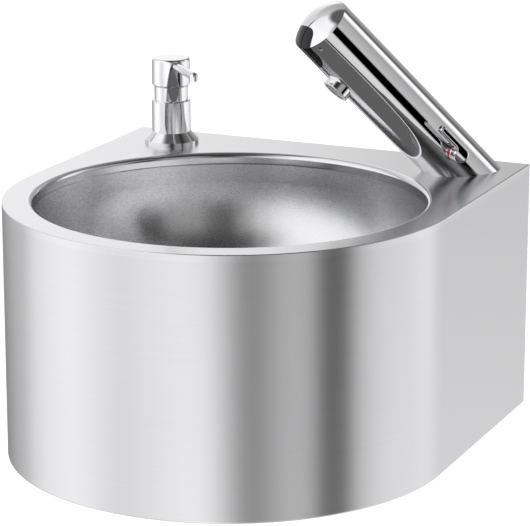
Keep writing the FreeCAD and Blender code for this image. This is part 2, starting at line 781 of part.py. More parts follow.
def make_lever():
    plan = lever_plan()
    plan.translate(V(0, 0, arm_rise))
    lever = plan.extrude(V(0, 0, hub_height)).fuse(cylinder(hub_radius, 0, arm_rise))
    ridge = hub_radius - arm_width / 2
    crown = Part.makeCylinder(lever_crown, 4 * arm_length,
                              V(ridge, -2 * arm_length, hub_height - lever_crown), V(0, 1, 0))
    lever = lever.common(crown).removeSplitter()
    outer_face = max(lever.Faces, key=lambda face: face.CenterOfMass.z)
    lever = lever.makeFillet(lever_edge, outer_face.Edges)
    lever = lever.cut(cylinder(spindle_radius, -past, spindle_grip))
    return on_lever(lever.cut(lever_screw_hole(lever_screw_radius, 0, 2 * hub_radius)))


def make_lever_screw():
    far = hub_radius - lever_screw_sunk
    screw = lever_screw_hole(lever_screw_radius, spindle_flat, far)
    return on_lever(screw.cut(lever_screw_hole(lever_screw_radius / 2, far - lever_screw_radius, far)))


# ---------------------------------------------------------------- soap dispenser
cap_low = deck_top + dispenser_rise + press_travel + press_reserve
cap_high = cap_low + cap_height
spout_z = cap_high - spout_below_top
threaded_top = deck_top + flange_top
barrel_top = threaded_top + threaded_head + barrel_rim
stem_collar_low = cap_low - stem_collar_height - stem_collar_gap
spout_way = V(math.cos(math.radians(spout_heading)), math.sin(math.radians(spout_heading)), 0)


def make_dispenser_gasket():
    return ring(flange_radius - flange_skirt, threaded_radius + slip, deck_top, deck_top + gasket_height,
                disp_x, disp_y)


def make_dispenser_flange():
    low = deck_top + gasket_height
    skirt = flange_radius - flange_skirt
    return turned([(threaded_radius + slip, low), (skirt, low), (skirt, deck_top), (flange_radius, deck_top),
                   (flange_radius, deck_top + flange_rim), (collar_outer, threaded_top),
                   (threaded_radius + slip, threaded_top)], disp_x, disp_y)


def make_dispenser_collar():
    high = deck_top + dispenser_rise
    bore = sleeve_radius + sleeve_fit
    return turned([(threaded_head_radius, threaded_top), (collar_outer, threaded_top),
                   (collar_outer, high - dispenser_edge), (collar_outer - dispenser_edge, high), (bore, high),
                   (bore, threaded_top + threaded_head), (threaded_head_radius, threaded_top + threaded_head)],
                  disp_x, disp_y)


def make_threaded_tube():
    low = deck_top - threaded_drop
    head = threaded_top + threaded_head
    return turned([(threaded_bore, low), (threaded_radius, low), (threaded_radius, threaded_top),
                   (threaded_head_radius, threaded_top), (threaded_head_radius, head),
                   (threaded_bore, head)], disp_x, disp_y)


def make_dispenser_washer():
    return ring(nut_radius, threaded_radius + slip, plate_under - washer_height, plate_under, disp_x, disp_y)


def make_dispenser_nut():
    high = plate_under - washer_height
    nut = hexagon(nut_radius, high - nut_height, high, disp_x, disp_y)
    return nut.cut(cylinder(threaded_radius, foot_z, deck_top, disp_x, disp_y))


def make_head_sleeve():
    low = deck_top + dispenser_rise - sleeve_overlap
    return ring(sleeve_radius, sleeve_radius - sleeve_wall, low, cap_low, disp_x, disp_y)


def make_push_cap():
    profile = [(0, cap_low), (cap_radius - cap_chamfer, cap_low), (cap_radius, cap_low + cap_chamfer),
               (cap_radius, cap_high), (0, cap_high)]
    cap = turned(profile, disp_x, disp_y)
    cap = cap.makeFillet(cap_edge, edges_at(cap, cap_high))
    cap = cap.cut(cylinder(stem_radius + stem_fit, cap_low - past, cap_low + stem_socket, disp_x, disp_y))
    start = V(disp_x, disp_y, spout_z)
    bore = Part.makeCylinder(spout_radius, cap_radius + past, start, spout_way)
    feed = cylinder(spout_bore, cap_low, spout_z, disp_x, disp_y)
    return cap.cut(bore).cut(feed)


def spout_shape(radius, drop):
    """Level tube from the cap's axis, a ball at the bend and a drop at the end."""
    start = V(disp_x, disp_y, spout_z)
    end = start + spout_way * spout_reach
    tube = Part.makeCylinder(radius, spout_reach, start, spout_way)
    tube = tube.fuse(Part.makeSphere(radius, end))
    return tube.fuse(Part.makeCylinder(radius, drop, end, V(0, 0, -1)))


def make_spout():
    outer = spout_shape(spout_radius, tip_drop).removeSplitter()
    inner = spout_shape(spout_bore, tip_drop + past)
    inlet = cylinder(spout_bore, spout_z - 2 * spout_radius, spout_z, disp_x, disp_y)
    return outer.cut(inner.fuse(inlet))


def make_pump_stem():
    piston_high = deck_top - piston_drop
    piston_low = piston_high - piston_height
    top = cap_low + stem_socket
    bore = barrel_radius - barrel_wall
    collar_high = stem_collar_low + stem_collar_height
    stem = turned([(spout_bore, piston_low), (bore - slip, piston_low), (bore - slip, piston_high),
                   (stem_radius, piston_high), (stem_radius, stem_collar_low),
                   (stem_collar_radius, stem_collar_low), (stem_collar_radius, collar_high),
                   (stem_radius, collar_high), (stem_radius, top), (spout_bore, top)], disp_x, disp_y)
    return stem


def make_pump_barrel():
    low = deck_top - barrel_drop
    bore = barrel_radius - barrel_wall
    seat = threaded_top + threaded_head
    return turned([(dip_radius, low), (barrel_radius, low), (barrel_radius, seat), (barrel_rim_radius, seat),
                   (barrel_rim_radius, barrel_top), (stem_radius + stem_fit, barrel_top),
                   (stem_radius + stem_fit, seat - barrel_shoulder), (bore, seat - barrel_shoulder),
                   (bore, low + barrel_floor), (dip_radius, low + barrel_floor)], disp_x, disp_y)


def make_pump_spring():
    """Return spring between the barrel's rim and the stem's collar: round wire in tilted half turns."""
    low = barrel_top + spring_wire
    half_rise = (stem_collar_low - spring_wire - low) / (2 * spring_turns)
    spring = None
    for i in range(2 * spring_turns):
        side = 1 if i % 2 == 0 else -1
        start = V(side * spring_radius, 0, i * half_rise)
        chord = V(-2 * side * spring_radius, 0, half_rise)
        wire = Part.Face(Part.Wire(Part.Circle(start, V(0, 1, 0), spring_wire).toShape()))
        half_turn = wire.revolve(start + chord * 0.5, chord.cross(V(0, side, 0)) * -1, 180)
        spring = half_turn if spring is None else spring.fuse(half_turn)
    spring.translate(V(disp_x, disp_y, low))
    return spring


def make_dip_tube():
    high = deck_top - barrel_drop + barrel_floor
    low = deck_top - bottle_bottom + bottle_wall + dip_clearance
    return ring(dip_radius, dip_bore, low, high, disp_x, disp_y)


def make_soap_bottle():
    neck = threaded_radius + slip
    neck_outer = neck + bottle_neck_wall
    neck_top = deck_top - bottle_neck_top
    neck_low = deck_top - threaded_drop
    shoulder = deck_top - bottle_shoulder
    bottom = deck_top - bottle_bottom
    inner_radius = bottle_radius - bottle_wall
    foot_radius = bottle_radius - bottle_base_round
    return turned([(neck, neck_top), (neck_outer, neck_top), (neck_outer, neck_low), (bottle_radius, shoulder),
                   (bottle_radius, bottom + bottle_base_round), (foot_radius, bottom), (0, bottom),
                   (0, bottom + bottle_wall), (foot_radius, bottom + bottle_wall),
                   (inner_radius, bottom + bottle_base_round), (inner_radius, shoulder - bottle_wall),
                   (neck, neck_low - bottle_wall)], disp_x, disp_y)


# ---------------------------------------------------------------- all pieces
pieces = {
    "deck_plate": make_deck,
    "bowl": make_bowl,
    "apron": make_apron,
    "back_plate": make_back_plate,
    "fixing_pads": make_fixing_pads,
    "tap_stiffener": lambda: make_stiffener(tap_x, tap_y, shank_radius + deck_hole_slack),
    "dispenser_stiffener": lambda: make_stiffener(disp_x, disp_y, threaded_radius + deck_hole_slack),
    "waste_grid": make_waste_grid,
    "waste_upper_seal": make_waste_upper_seal,
    "waste_lower_seal": make_waste_lower_seal,
    "waste_tail": make_waste_tail,
    "waste_screw": make_waste_screw,
    "tap_body": make_tap_body,
    "tap_base_seal": make_tap_base_seal,
    "tap_foot": make_tap_foot,
    "tap_shank": make_tap_shank,
    "tap_clamp_seal": make_tap_clamp_seal,
    "tap_clamp_washer": make_tap_clamp_washer,
    "tap_nut": make_tap_nut,
    "tap_cap": make_tap_cap,
    "sensor_window": make_sensor_window,
    "sensor_module": make_sensor_module,
    "cap_screw": make_cap_screw,
    "aerator_collar": make_aerator_collar,
    "aerator_insert": make_aerator_insert,
    "outlet_pipe": make_outlet_pipe,
    "solenoid_valve": make_solenoid_valve,
    "solenoid_coil": make_solenoid_coil,
    "battery": make_battery,
    "mixing_cartridge": make_cartridge,
    "control_bezel": make_control_bezel,
    "hot_marker": lambda: on_tap(hot_marker()),
    "cold_marker": lambda: on_tap(cold_marker()),
    "cartridge_spindle": make_spindle,
    "temperature_lever": make_lever,
    "lever_screw": make_lever_screw,
    "dispenser_gasket": make_dispenser_gasket,
    "dispenser_flange": make_dispenser_flange,
    "dispenser_collar": make_dispenser_collar,
    "dispenser_threaded_tube": make_threaded_tube,
    "dispenser_washer": make_dispenser_washer,
    "dispenser_nut": make_dispenser_nut,
    "head_sleeve": make_head_sleeve,
    "push_cap": make_push_cap,
    "soap_spout": make_spout,
    "pump_stem": make_pump_stem,
    "pump_spring": make_pump_spring,
    "pump_barrel": make_pump_barrel,
    "dip_tube": make_dip_tube,
    "soap_bottle": make_soap_bottle,
}

os.makedirs("parts", exist_ok=True)
for name, make in pieces.items():
    shape = make()
    shape.exportStep("parts/" + name + ".step")
    print(name, len(shape.Solids), shape.isValid(), round(shape.Volume / 1000, 2))
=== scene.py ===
# %% [markdown]
# # A stainless steel hand wash basin
#
# The engineering model of the basin is already made, and it arrives here as a fixed frame: every
# sheet, seal, nut and spring is where the real one sits. This lesson gives it its looks. The frame
# is loaded first, because everything later is placed by it.

# %% Load the frame
import math
import bmesh
import bpy
from mathutils import Matrix, Vector


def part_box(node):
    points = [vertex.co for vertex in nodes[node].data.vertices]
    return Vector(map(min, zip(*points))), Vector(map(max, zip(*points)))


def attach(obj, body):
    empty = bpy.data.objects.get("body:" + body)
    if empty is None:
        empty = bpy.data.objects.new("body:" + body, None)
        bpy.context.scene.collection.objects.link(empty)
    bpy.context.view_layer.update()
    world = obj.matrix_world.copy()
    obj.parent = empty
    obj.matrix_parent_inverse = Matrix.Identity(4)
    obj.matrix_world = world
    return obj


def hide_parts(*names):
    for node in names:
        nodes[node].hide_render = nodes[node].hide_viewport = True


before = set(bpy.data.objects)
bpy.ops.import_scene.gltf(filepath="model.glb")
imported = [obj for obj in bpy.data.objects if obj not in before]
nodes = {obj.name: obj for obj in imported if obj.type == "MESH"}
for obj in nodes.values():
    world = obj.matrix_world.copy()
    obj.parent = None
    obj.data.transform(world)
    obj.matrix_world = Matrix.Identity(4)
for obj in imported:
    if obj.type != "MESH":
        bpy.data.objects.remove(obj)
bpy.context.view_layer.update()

MM = 0.001
scene = bpy.context.scene

# %% [markdown]
# ## Axes and levels
#
# Almost everything on this basin is round about one of three upright axes: the bowl's, the tap's
# and the soap dispenser's. They are noted once, with the height of the deck, in millimetres. The
# wall is at y = 0 and the basin stands out from it towards -y. The axes could also be worked out
# from the boxes of the frame's nodes. Written down, they show at a glance what turns about what,
# and the boxes are printed beside them as a check.

# %% Axes and levels
DECK_TOP = 110.0
BOWL_AXIS = (0.0, -217.0)
TAP_AXIS = (142.0, -45.0)
DISPENSER_AXIS = (-136.4, -48.0)
for axis, node in ((BOWL_AXIS, "waste_tail"), (TAP_AXIS, "tap_shank"), (DISPENSER_AXIS, "soap_bottle")):
    low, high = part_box(node)
    middle = [round((a + b) / 2 / MM, 1) for a, b in zip(low, high)]
    print(node, "axis", axis, "middle of its box", middle[:2])

# %% [markdown]
# ## Camera
#
# The picture was taken from a little over two metres with a long lens, from the right of the
# basin and slightly above. A long lens keeps the two side walls nearly parallel. A Track To
# constraint could aim the camera, but its own right, backward and up directions say the same in
# three lines, and they can be read as the turn and the pitch of a tripod head.

# %% Camera
TURN = math.radians(24.0415)        # to the right of straight ahead
PITCH = math.radians(15.118)        # looking down
LENS = 183.49
CAMERA_PLACE = Vector((920.1, -2207.6, 644.9)) * MM
camera_data = bpy.data.cameras.new("view_camera")
camera_data.lens = LENS
camera_data.sensor_width = 36
camera = bpy.data.objects.new("view_camera", camera_data)
scene.collection.objects.link(camera)
right = Vector((math.cos(TURN), math.sin(TURN), 0))
back = Vector((math.sin(TURN) * math.cos(PITCH), -math.cos(TURN) * math.cos(PITCH), math.sin(PITCH)))
up = back.cross(right)
camera.matrix_world = Matrix((right, up, back)).transposed().to_4x4()
camera.location = CAMERA_PLACE
scene.camera = camera
bowl_mouth = Vector((*BOWL_AXIS, DECK_TOP)) * MM
print("camera to the bowl's mouth, in metres:", round((CAMERA_PLACE - bowl_mouth).length, 2))

# %% [markdown]
# ## Small tools for node trees
#
# The room, the floor and every finish are node trees, and the same few nodes come back all the
# time: a sum, a soft step and a mix of two colours. Wiring each by hand would bury the idea of a
# tree under its plumbing, so each of them is one call that gives back its output socket.

# %% Helpers: node trees
def fill(tree, socket, value):
    """Sets a socket to a plain value, or links it to another node's output."""
    if isinstance(value, (int, float, tuple)):
        socket.default_value = value
    else:
        tree.links.new(value, socket)


def maths(tree, operation, first, second=None):
    node = tree.nodes.new("ShaderNodeMath")
    node.operation = operation
    fill(tree, node.inputs[0], first)
    if second is not None:
        fill(tree, node.inputs[1], second)
    return node.outputs[0]


def smooth_step(tree, source, low, high):
    """0 below low, 1 above high, and soft in between."""
    step = tree.nodes.new("ShaderNodeMapRange")
    step.interpolation_type = "SMOOTHSTEP"
    step.inputs["From Min"].default_value = low
    step.inputs["From Max"].default_value = high
    tree.links.new(source, step.inputs["Value"])
    return step.outputs["Result"]


def blend(tree, amount, first, second, kind="RGBA"):
    mix = tree.nodes.new("ShaderNodeMix")
    mix.data_type = kind
    fill(tree, mix.inputs["Factor"], amount)
    fill(tree, mix.inputs["A"], first)
    fill(tree, mix.inputs["B"], second)
    return mix.outputs["Result"]


def blend_shaders(tree, amount, first, second):
    mix = tree.nodes.new("ShaderNodeMixShader")
    for socket, value in zip(mix.inputs, (amount, first, second)):
        tree.links.new(value, socket)
    return mix.outputs[0]


print("helpers: fill, maths, smooth_step, blend, blend_shaders")

# %% [markdown]
# ## The room that the metal shows
#
# Polished and brushed steel has almost no colour of its own: it shows the room. A product studio
# for such a piece is a ring of tall white panels with dark gaps between them under a dark ceiling,
# and each gap becomes one upright dark band on the round wall. Real panels could stand round the
# basin as glowing planes, but soft edges and slow fades are easier to paint, so the room is drawn
# in the world, as brightness against compass direction. There is one ring of panels below the
# horizon, one above it and one below the ceiling. In each list the direction is in degrees, 0 is
# straight out in front of the basin and + is towards its right side; brightness 1 is white paper.

# %% Panels and gaps
LOW_PANELS = [
    (-180, 0.45), (-165, 0.10), (-140, 0.10), (-122, 0.36), (-104, 0.68),       # behind, on the left
    (-86, 1.10), (-62, 1.27), (-45, 0.98), (-33, 0.80), (-20, 0.99),            # left panel
    (-8, 1.18), (4, 1.45), (14, 1.48), (24, 0.98),                              # front panel
    (31, 0.44), (38, 0.31), (46, 0.56), (53, 0.76), (60, 0.80), (66, 0.80),     # gap, then a dim panel
    (68.5, 0.60), (70, 0.0), (86, 0.0), (89, 0.60),                             # black gap on the right
    (104, 1.06), (120, 1.23), (138, 1.05), (160, 1.0), (172, 0.9), (180, 0.45)]
HIGH_PANELS = [
    (-180, 0.4), (-166, 0.5), (-161, 0.62), (-156, 0.98), (-150, 1.15), (-140, 0.95), (-120, 0.8),
    (-100.5, 0.8), (-98.5, 0.12), (-96, 0.12), (-94, 1.1), (-60, 1.15), (-30, 1.2), (-10, 1.15),
    (4, 0.8), (14, 0.45), (23, 0.06), (33, 0.05), (45, 0.4),                    # dark gap in front
    (68.5, 0.35), (70, 0.0), (86, 0.0), (89, 0.6),                              # black gap on the right
    (116, 0.47), (123, 0.4), (132, 1.05), (138, 1.25), (144, 1.1), (149, 0.25), (153, 0.1),
    (163, 0.26), (180, 0.42)]
TOP_PANELS = [
    (-180, 0.3), (-160, 0.45), (-140, 0.5), (-115, 0.62), (-98, 0.75), (-92, 1.0), (-60, 1.1),
    (-24, 1.1), (-10, 0.5), (4, 0.03), (110, 0.03), (150, 0.25), (180, 0.3)]
FLOOR_GLOW = 0.6        # least brightness of what lies steeply below
CEILING = 0.12


def panel_ramp(tree, panels, name):
    ramp = tree.nodes.new("ShaderNodeValToRGB")
    ramp.name = name
    stops = ramp.color_ramp.elements
    for place, (degrees, value) in enumerate(panels):
        position = degrees / 360 + 0.5
        stop = stops[place] if place < 2 else stops.new(position)
        stop.position = position
        stop.color = (value, value, value * 1.005, 1)
    return ramp


print("stops:", len(LOW_PANELS), len(HIGH_PANELS), len(TOP_PANELS), "of 32 that a ramp holds")

# %% Room in the world
world = bpy.data.worlds.new("studio")
scene.world = world
world.use_nodes = True
sky = world.node_tree
sky.nodes.clear()
view_direction = sky.nodes.new("ShaderNodeTexCoord").outputs["Generated"]
parts = sky.nodes.new("ShaderNodeSeparateXYZ")
sky.links.new(view_direction, parts.inputs[0])
compass = maths(sky, "ARCTAN2", parts.outputs["X"], maths(sky, "MULTIPLY", parts.outputs["Y"], -1))
compass = maths(sky, "ADD", maths(sky, "DIVIDE", compass, 2 * math.pi), 0.5)


def above(low_degrees, high_degrees):
    """Soft step over the angle above the horizon."""
    low, high = (math.sin(math.radians(angle)) for angle in (low_degrees, high_degrees))
    return smooth_step(sky, parts.outputs["Z"], low, high)


rings = []
for name, panels in (("low", LOW_PANELS), ("high", HIGH_PANELS), ("top", TOP_PANELS)):
    ring = panel_ramp(sky, panels, name)
    sky.links.new(compass, ring.inputs[0])
    rings.append(ring.outputs[0])
room = blend(sky, above(-38, -26), maths(sky, "MAXIMUM", rings[0], FLOOR_GLOW), rings[0])
room = blend(sky, above(-14, -2), room, rings[1])
room = blend(sky, above(30, 44), room, rings[2])
room = blend(sky, above(60, 72), room, (CEILING, CEILING, CEILING, 1))
print("room nodes:", len(sky.nodes))

# %% [markdown]
# The camera doesn't see this room: behind the basin the picture is plain white. Light Path tells a
# look through the camera from a reflection, and picks white for the first.

# %% White behind the basin
room_light = sky.nodes.new("ShaderNodeBackground")
sky.links.new(room, room_light.inputs["Color"])
white = sky.nodes.new("ShaderNodeBackground")
white.inputs["Color"].default_value = (1, 1, 1, 1)
path = sky.nodes.new("ShaderNodeLightPath")
world_output = sky.nodes.new("ShaderNodeOutputWorld")
seen = blend_shaders(sky, path.outputs["Is Camera Ray"], room_light.outputs[0], white.outputs[0])
sky.links.new(seen, world_output.inputs[0])
scene.view_settings.view_transform = "Standard"
print("view transform:", scene.view_settings.view_transform)

# %% [markdown]
# ## Floor
#
# The basin hangs on a wall with its deck 850 mm above the floor. The floor is a plain pale disc
# that far down. It is kept out of mirror reflections, so that the panels of the room reach the
# lower half of the steel, and it is clear from below, so that the basin can be looked at from
# there. The glow that only the camera sees keeps it as white as the background.

# %% Floor
DECK_ABOVE_FLOOR = 850.0
FLOOR_RADIUS = 14.0
bpy.ops.object.select_all(action="DESELECT")
bpy.ops.mesh.primitive_circle_add(vertices=96, radius=FLOOR_RADIUS, fill_type="NGON",
                                  location=(0, 0, (DECK_TOP - DECK_ABOVE_FLOOR) * MM))
floor = bpy.context.object
floor.name = "studio_floor"
floor.visible_glossy = False

floor_material = bpy.data.materials.new("studio_floor")
floor_material.use_nodes = True
floor_tree = floor_material.node_tree
floor_shader = floor_tree.nodes["Principled BSDF"]
floor_shader.inputs["Base Color"].default_value = (0.86, 0.86, 0.86, 1)
floor_shader.inputs["Roughness"].default_value = 0.9
glow = floor_tree.nodes.new("ShaderNodeEmission")
glow.inputs["Strength"].default_value = 0.75
no_glow = floor_tree.nodes.new("ShaderNodeEmission")
no_glow.inputs["Strength"].default_value = 0
floor_path = floor_tree.nodes.new("ShaderNodeLightPath")
for_camera = floor_path.outputs["Is Camera Ray"]
camera_glow = blend_shaders(floor_tree, for_camera, no_glow.outputs[0], glow.outputs[0])
lit_floor = floor_tree.nodes.new("ShaderNodeAddShader")
floor_tree.links.new(floor_shader.outputs[0], lit_floor.inputs[0])
floor_tree.links.new(camera_glow, lit_floor.inputs[1])
clear = floor_tree.nodes.new("ShaderNodeBsdfTransparent")
floor_side = floor_tree.nodes.new("ShaderNodeNewGeometry")
from_below = floor_side.outputs["Backfacing"]
one_sided = blend_shaders(floor_tree, from_below, lit_floor.outputs[0], clear.outputs[0])
floor_tree.links.new(one_sided, floor_tree.nodes["Material Output"].inputs[0])
floor.data.materials.append(floor_material)
print("floor at z in mm:", round(floor.location.z / MM))

# %% [markdown]
# ## Dark card
#
# On the real thing the tap's polished underside shows the deep bowl and whatever dark thing stood
# near the camera, so it is almost black. A photographer gets that with a black card. This one is
# half a disc over the mouth of the bowl, seen by mirror reflections alone: the tap sees its front
# from above, and everything below looks through its back. It starts as a full disc, and Bisect
# cuts it under the tap, along the way that the tap leans, so that the front right half stays.

# %% Dark card
CARD_RADIUS = 157.0
CARD_HEIGHT = DECK_TOP - 0.5
CARD_CUT_POINT = (72.7, -133.5)
CARD_CUT_DIRECTION = (-0.689, 0.725, 0)
CARD_GREY = 0.13
bpy.ops.object.select_all(action="DESELECT")
bpy.ops.mesh.primitive_circle_add(vertices=96, radius=CARD_RADIUS * MM, fill_type="NGON",
                                  location=Vector((*BOWL_AXIS, CARD_HEIGHT)) * MM)
card = bpy.context.object
card.name = "dark_card"
bpy.ops.object.transform_apply(location=True)
bpy.ops.object.mode_set(mode="EDIT")
bpy.ops.mesh.select_all(action="SELECT")
bpy.ops.mesh.bisect(plane_co=Vector((*CARD_CUT_POINT, CARD_HEIGHT)) * MM, plane_no=CARD_CUT_DIRECTION,
                    clear_outer=True)
bpy.ops.object.mode_set(mode="OBJECT")
card.visible_camera = False
card.visible_diffuse = False
card.visible_shadow = False
card.visible_transmission = False

card_material = bpy.data.materials.new("dark_card")
card_material.use_nodes = True
card_tree = card_material.node_tree
card_tree.nodes.clear()
card_front = card_tree.nodes.new("ShaderNodeEmission")
card_front.inputs["Color"].default_value = (CARD_GREY, CARD_GREY, CARD_GREY, 1)
card_back = card_tree.nodes.new("ShaderNodeBsdfTransparent")
card_side = card_tree.nodes.new("ShaderNodeNewGeometry")
card_output = card_tree.nodes.new("ShaderNodeOutputMaterial")
behind_card = card_side.outputs["Backfacing"]
two_sides = blend_shaders(card_tree, behind_card, card_front.outputs[0], card_back.outputs[0])
card_tree.links.new(two_sides, card_output.inputs[0])
card.data.materials.append(card_material)
print("card corners:", len(card.data.vertices))

# %% [markdown]
# ## Lamp
#
# The room lights the metal. Plastics and seals need some plain light as well, which a wide soft
# lamp gives from above, on the left. It stays out of reflections, where it would show as a
# second bright patch that no panel explains.

# %% Lamp
lamp_data = bpy.data.lights.new("soft_lamp", "AREA")
lamp_data.shape = "RECTANGLE"
lamp_data.size = 1.6
lamp_data.size_y = 1.2
lamp_data.energy = 14
lamp = bpy.data.objects.new("soft_lamp", lamp_data)
scene.collection.objects.link(lamp)
lamp.location = (-0.7, -1.3, 1.7)
lamp.rotation_euler = (Vector((0, -0.2, 0)) - lamp.location).to_track_quat("-Z", "Y").to_euler()
lamp.visible_glossy = False
print("lamp watts:", lamp_data.energy)

# %% [markdown]
# ## Grain
#
# Brushed sheet is covered with short fine scratches that all run one way. Several finishes on this
# basin need them, so the grain is one node group. An image of scratches would show its tiles on a
# wall this size. Noise stretched along one direction never repeats: it is used at two scales, and
# the group puts out a height for the bump, a small change of roughness and a small change of tone.

# %% Node group: brushed grain
def noise(tree, vector, detail):
    """Noise with one feature per unit of the given place."""
    node = tree.nodes.new("ShaderNodeTexNoise")
    node.inputs["Detail"].default_value = detail
    node.inputs["Scale"].default_value = 1.0
    tree.links.new(vector, node.inputs["Vector"])
    return node.outputs["Fac"]


grain = bpy.data.node_groups.new("brushed_grain", "ShaderNodeTree")
grain.interface.new_socket("Position", in_out="INPUT", socket_type="NodeSocketVector")
grain.interface.new_socket("Roughness", in_out="INPUT", socket_type="NodeSocketFloat")
for label in ("Height", "Roughness", "Tone"):
    grain.interface.new_socket(label, in_out="OUTPUT", socket_type="NodeSocketFloat")
grain_in = grain.nodes.new("NodeGroupInput")
grain_out = grain.nodes.new("NodeGroupOutput")

COARSE = 0.21               # size of the fine scratches against the coarse ones
FINE_SHARE = 0.65
ROUGHNESS_CHANGE = 0.06
TONE_CHANGE = 0.12
fine = noise(grain, grain_in.outputs["Position"], 3)
coarse_place = grain.nodes.new("ShaderNodeVectorMath")
coarse_place.operation = "SCALE"
coarse_place.inputs["Scale"].default_value = COARSE
grain.links.new(grain_in.outputs["Position"], coarse_place.inputs[0])
coarse = noise(grain, coarse_place.outputs[0], 2)
lines = maths(grain, "ADD", maths(grain, "MULTIPLY", fine, FINE_SHARE),
              maths(grain, "MULTIPLY", coarse, 1 - FINE_SHARE))
uneven = maths(grain, "SUBTRACT", lines, 0.5)
changed = maths(grain, "MULTIPLY", uneven, ROUGHNESS_CHANGE)
tone = maths(grain, "ADD", maths(grain, "MULTIPLY", uneven, TONE_CHANGE), 1.0)
grain.links.new(lines, grain_out.inputs["Height"])
grain.links.new(maths(grain, "ADD", changed, grain_in.outputs["Roughness"]), grain_out.inputs["Roughness"])
grain.links.new(tone, grain_out.inputs["Tone"])
print("grain nodes:", len(grain.nodes))

# %% [markdown]
# ## Finishes
#
# Each finish is one material, and all of them start in the same way: the shader, a place to read
# the pattern from, a tinted colour and a bump. The place is in Object coordinates, which stay with
# the piece when it moves, and its scale is in repeats per metre along X, Y and Z.

# %% Helpers: materials
def new_material(name):
    material = bpy.data.materials.new(name)
    material.use_nodes = True
    tree = material.node_tree
    return material, tree, tree.nodes["Principled BSDF"]


def stretched_place(tree, scale):
    source = tree.nodes.new("ShaderNodeTexCoord")
    stretch = tree.nodes.new("ShaderNodeMapping")
    stretch.inputs["Scale"].default_value = scale
    tree.links.new(source.outputs["Object"], stretch.inputs["Vector"])
    return stretch.outputs[0]


def tint(tree, shader, tone, colour):
    mix = tree.nodes.new("ShaderNodeMix")
    mix.data_type = "RGBA"
    mix.blend_type = "MULTIPLY"
    mix.inputs["Factor"].default_value = 1
    mix.inputs["A"].default_value = (*colour, 1)
    tree.links.new(tone, mix.inputs["B"])
    tree.links.new(mix.outputs["Result"], shader.inputs["Base Color"])


def bump(tree, shader, height, depth):
    """depth is how far the highest point of the pattern stands out, in metres."""
    node = tree.nodes.new("ShaderNodeBump")
    node.inputs["Distance"].default_value = depth
    tree.links.new(height, node.inputs["Height"])
    tree.links.new(node.outputs[0], shader.inputs["Normal"])


print("helpers: new_material, stretched_place, tint, bump")

# %% [markdown]
# ## Brushed sheet
#
# On brushed sheet the room is blurred much more across the scratches than along them, which the
# shader calls anisotropy: that is what draws a small bright panel out into a tall upright band.
# Its direction comes from a Tangent node that runs round an axis, turned by a quarter where the
# band has to stand upright. Many real scratches in the mesh would do the same at a great cost.
# The wall is ground round and round, the deck from side to side, and the bowl has a dull grain.

# %% Materials: steel sheet
SCRATCH_DEPTH = 0.01 * MM


def brushed_steel(name, colour, scale, roughness, stretch, turn, around):
    material, tree, shader = new_material(name)
    shader.inputs["Metallic"].default_value = 1
    shader.inputs["Anisotropic"].default_value = stretch
    shader.inputs["Anisotropic Rotation"].default_value = turn
    direction = tree.nodes.new("ShaderNodeTangent")
    direction.direction_type = "RADIAL"
    direction.axis = around
    tree.links.new(direction.outputs[0], shader.inputs["Tangent"])
    scratches = tree.nodes.new("ShaderNodeGroup")
    scratches.node_tree = grain
    scratches.inputs["Roughness"].default_value = roughness
    tree.links.new(stretched_place(tree, scale), scratches.inputs["Position"])
    tree.links.new(scratches.outputs["Roughness"], shader.inputs["Roughness"])
    tint(tree, shader, scratches.outputs["Tone"], colour)
    bump(tree, shader, scratches.outputs["Height"], SCRATCH_DEPTH)
    print(name, "roughness", roughness, "anisotropy", stretch)
    return material


wall_steel = brushed_steel("wall_steel", (0.74, 0.74, 0.75), (18, 18, 3200), 0.34, 0.85, 0.25, "Z")
deck_steel = brushed_steel("deck_steel", (0.76, 0.76, 0.77), (18, 3200, 3200), 0.22, 0.8, 0.0, "X")
bowl_steel = brushed_steel("bowl_steel", (0.80, 0.80, 0.81), (300, 300, 1800), 0.27, 0.2, 0.25, "Z")
plain_steel = brushed_steel("plain_steel", (0.60, 0.60, 0.61), (900, 900, 900), 0.36, 0.0, 0.0, "Z")

# %% [markdown]
# ## Rim and lip of the deck
#
# The deck is one sheet with three finishes. Its flat is brushed. The rim, where it rolls down into
# the bowl, is polished after pressing and shows one crisp dark line all round. The narrow lip that
# is turned down over the wall is ground together with the wall, so nobody sees where one ends and
# the other begins. Three materials would need three pieces, so two masks find the places instead:
# the distance from the bowl's axis finds the rim, and the height finds the lip.

# %% Masks for rim and lip
RIM_START = (168.6, 169.4)          # distance from the bowl's axis
LIP_START = (108.6, 109.6)          # height
deck_tree = deck_steel.node_tree
deck_shader = deck_tree.nodes["Principled BSDF"]
deck_place = deck_tree.nodes.new("ShaderNodeTexCoord").outputs["Object"]
from_bowl_axis = deck_tree.nodes.new("ShaderNodeMapping")
from_bowl_axis.inputs["Location"].default_value = (-BOWL_AXIS[0] * MM, -BOWL_AXIS[1] * MM, 0)
from_bowl_axis.inputs["Scale"].default_value = (1, 1, 0)
deck_tree.links.new(deck_place, from_bowl_axis.inputs["Vector"])
distance = deck_tree.nodes.new("ShaderNodeVectorMath")
distance.operation = "LENGTH"
deck_tree.links.new(from_bowl_axis.outputs[0], distance.inputs[0])
outside_rim = smooth_step(deck_tree, distance.outputs["Value"], RIM_START[0] * MM, RIM_START[1] * MM)
deck_height = deck_tree.nodes.new("ShaderNodeSeparateXYZ")
deck_tree.links.new(deck_place, deck_height.inputs[0])
above_lip = smooth_step(deck_tree, deck_height.outputs["Z"], LIP_START[0] * MM, LIP_START[1] * MM)
off_lip = maths(deck_tree, "MAXIMUM", above_lip, maths(deck_tree, "SUBTRACT", 1.0, outside_rim))
print("rim starts at", RIM_START, "lip starts at", LIP_START)

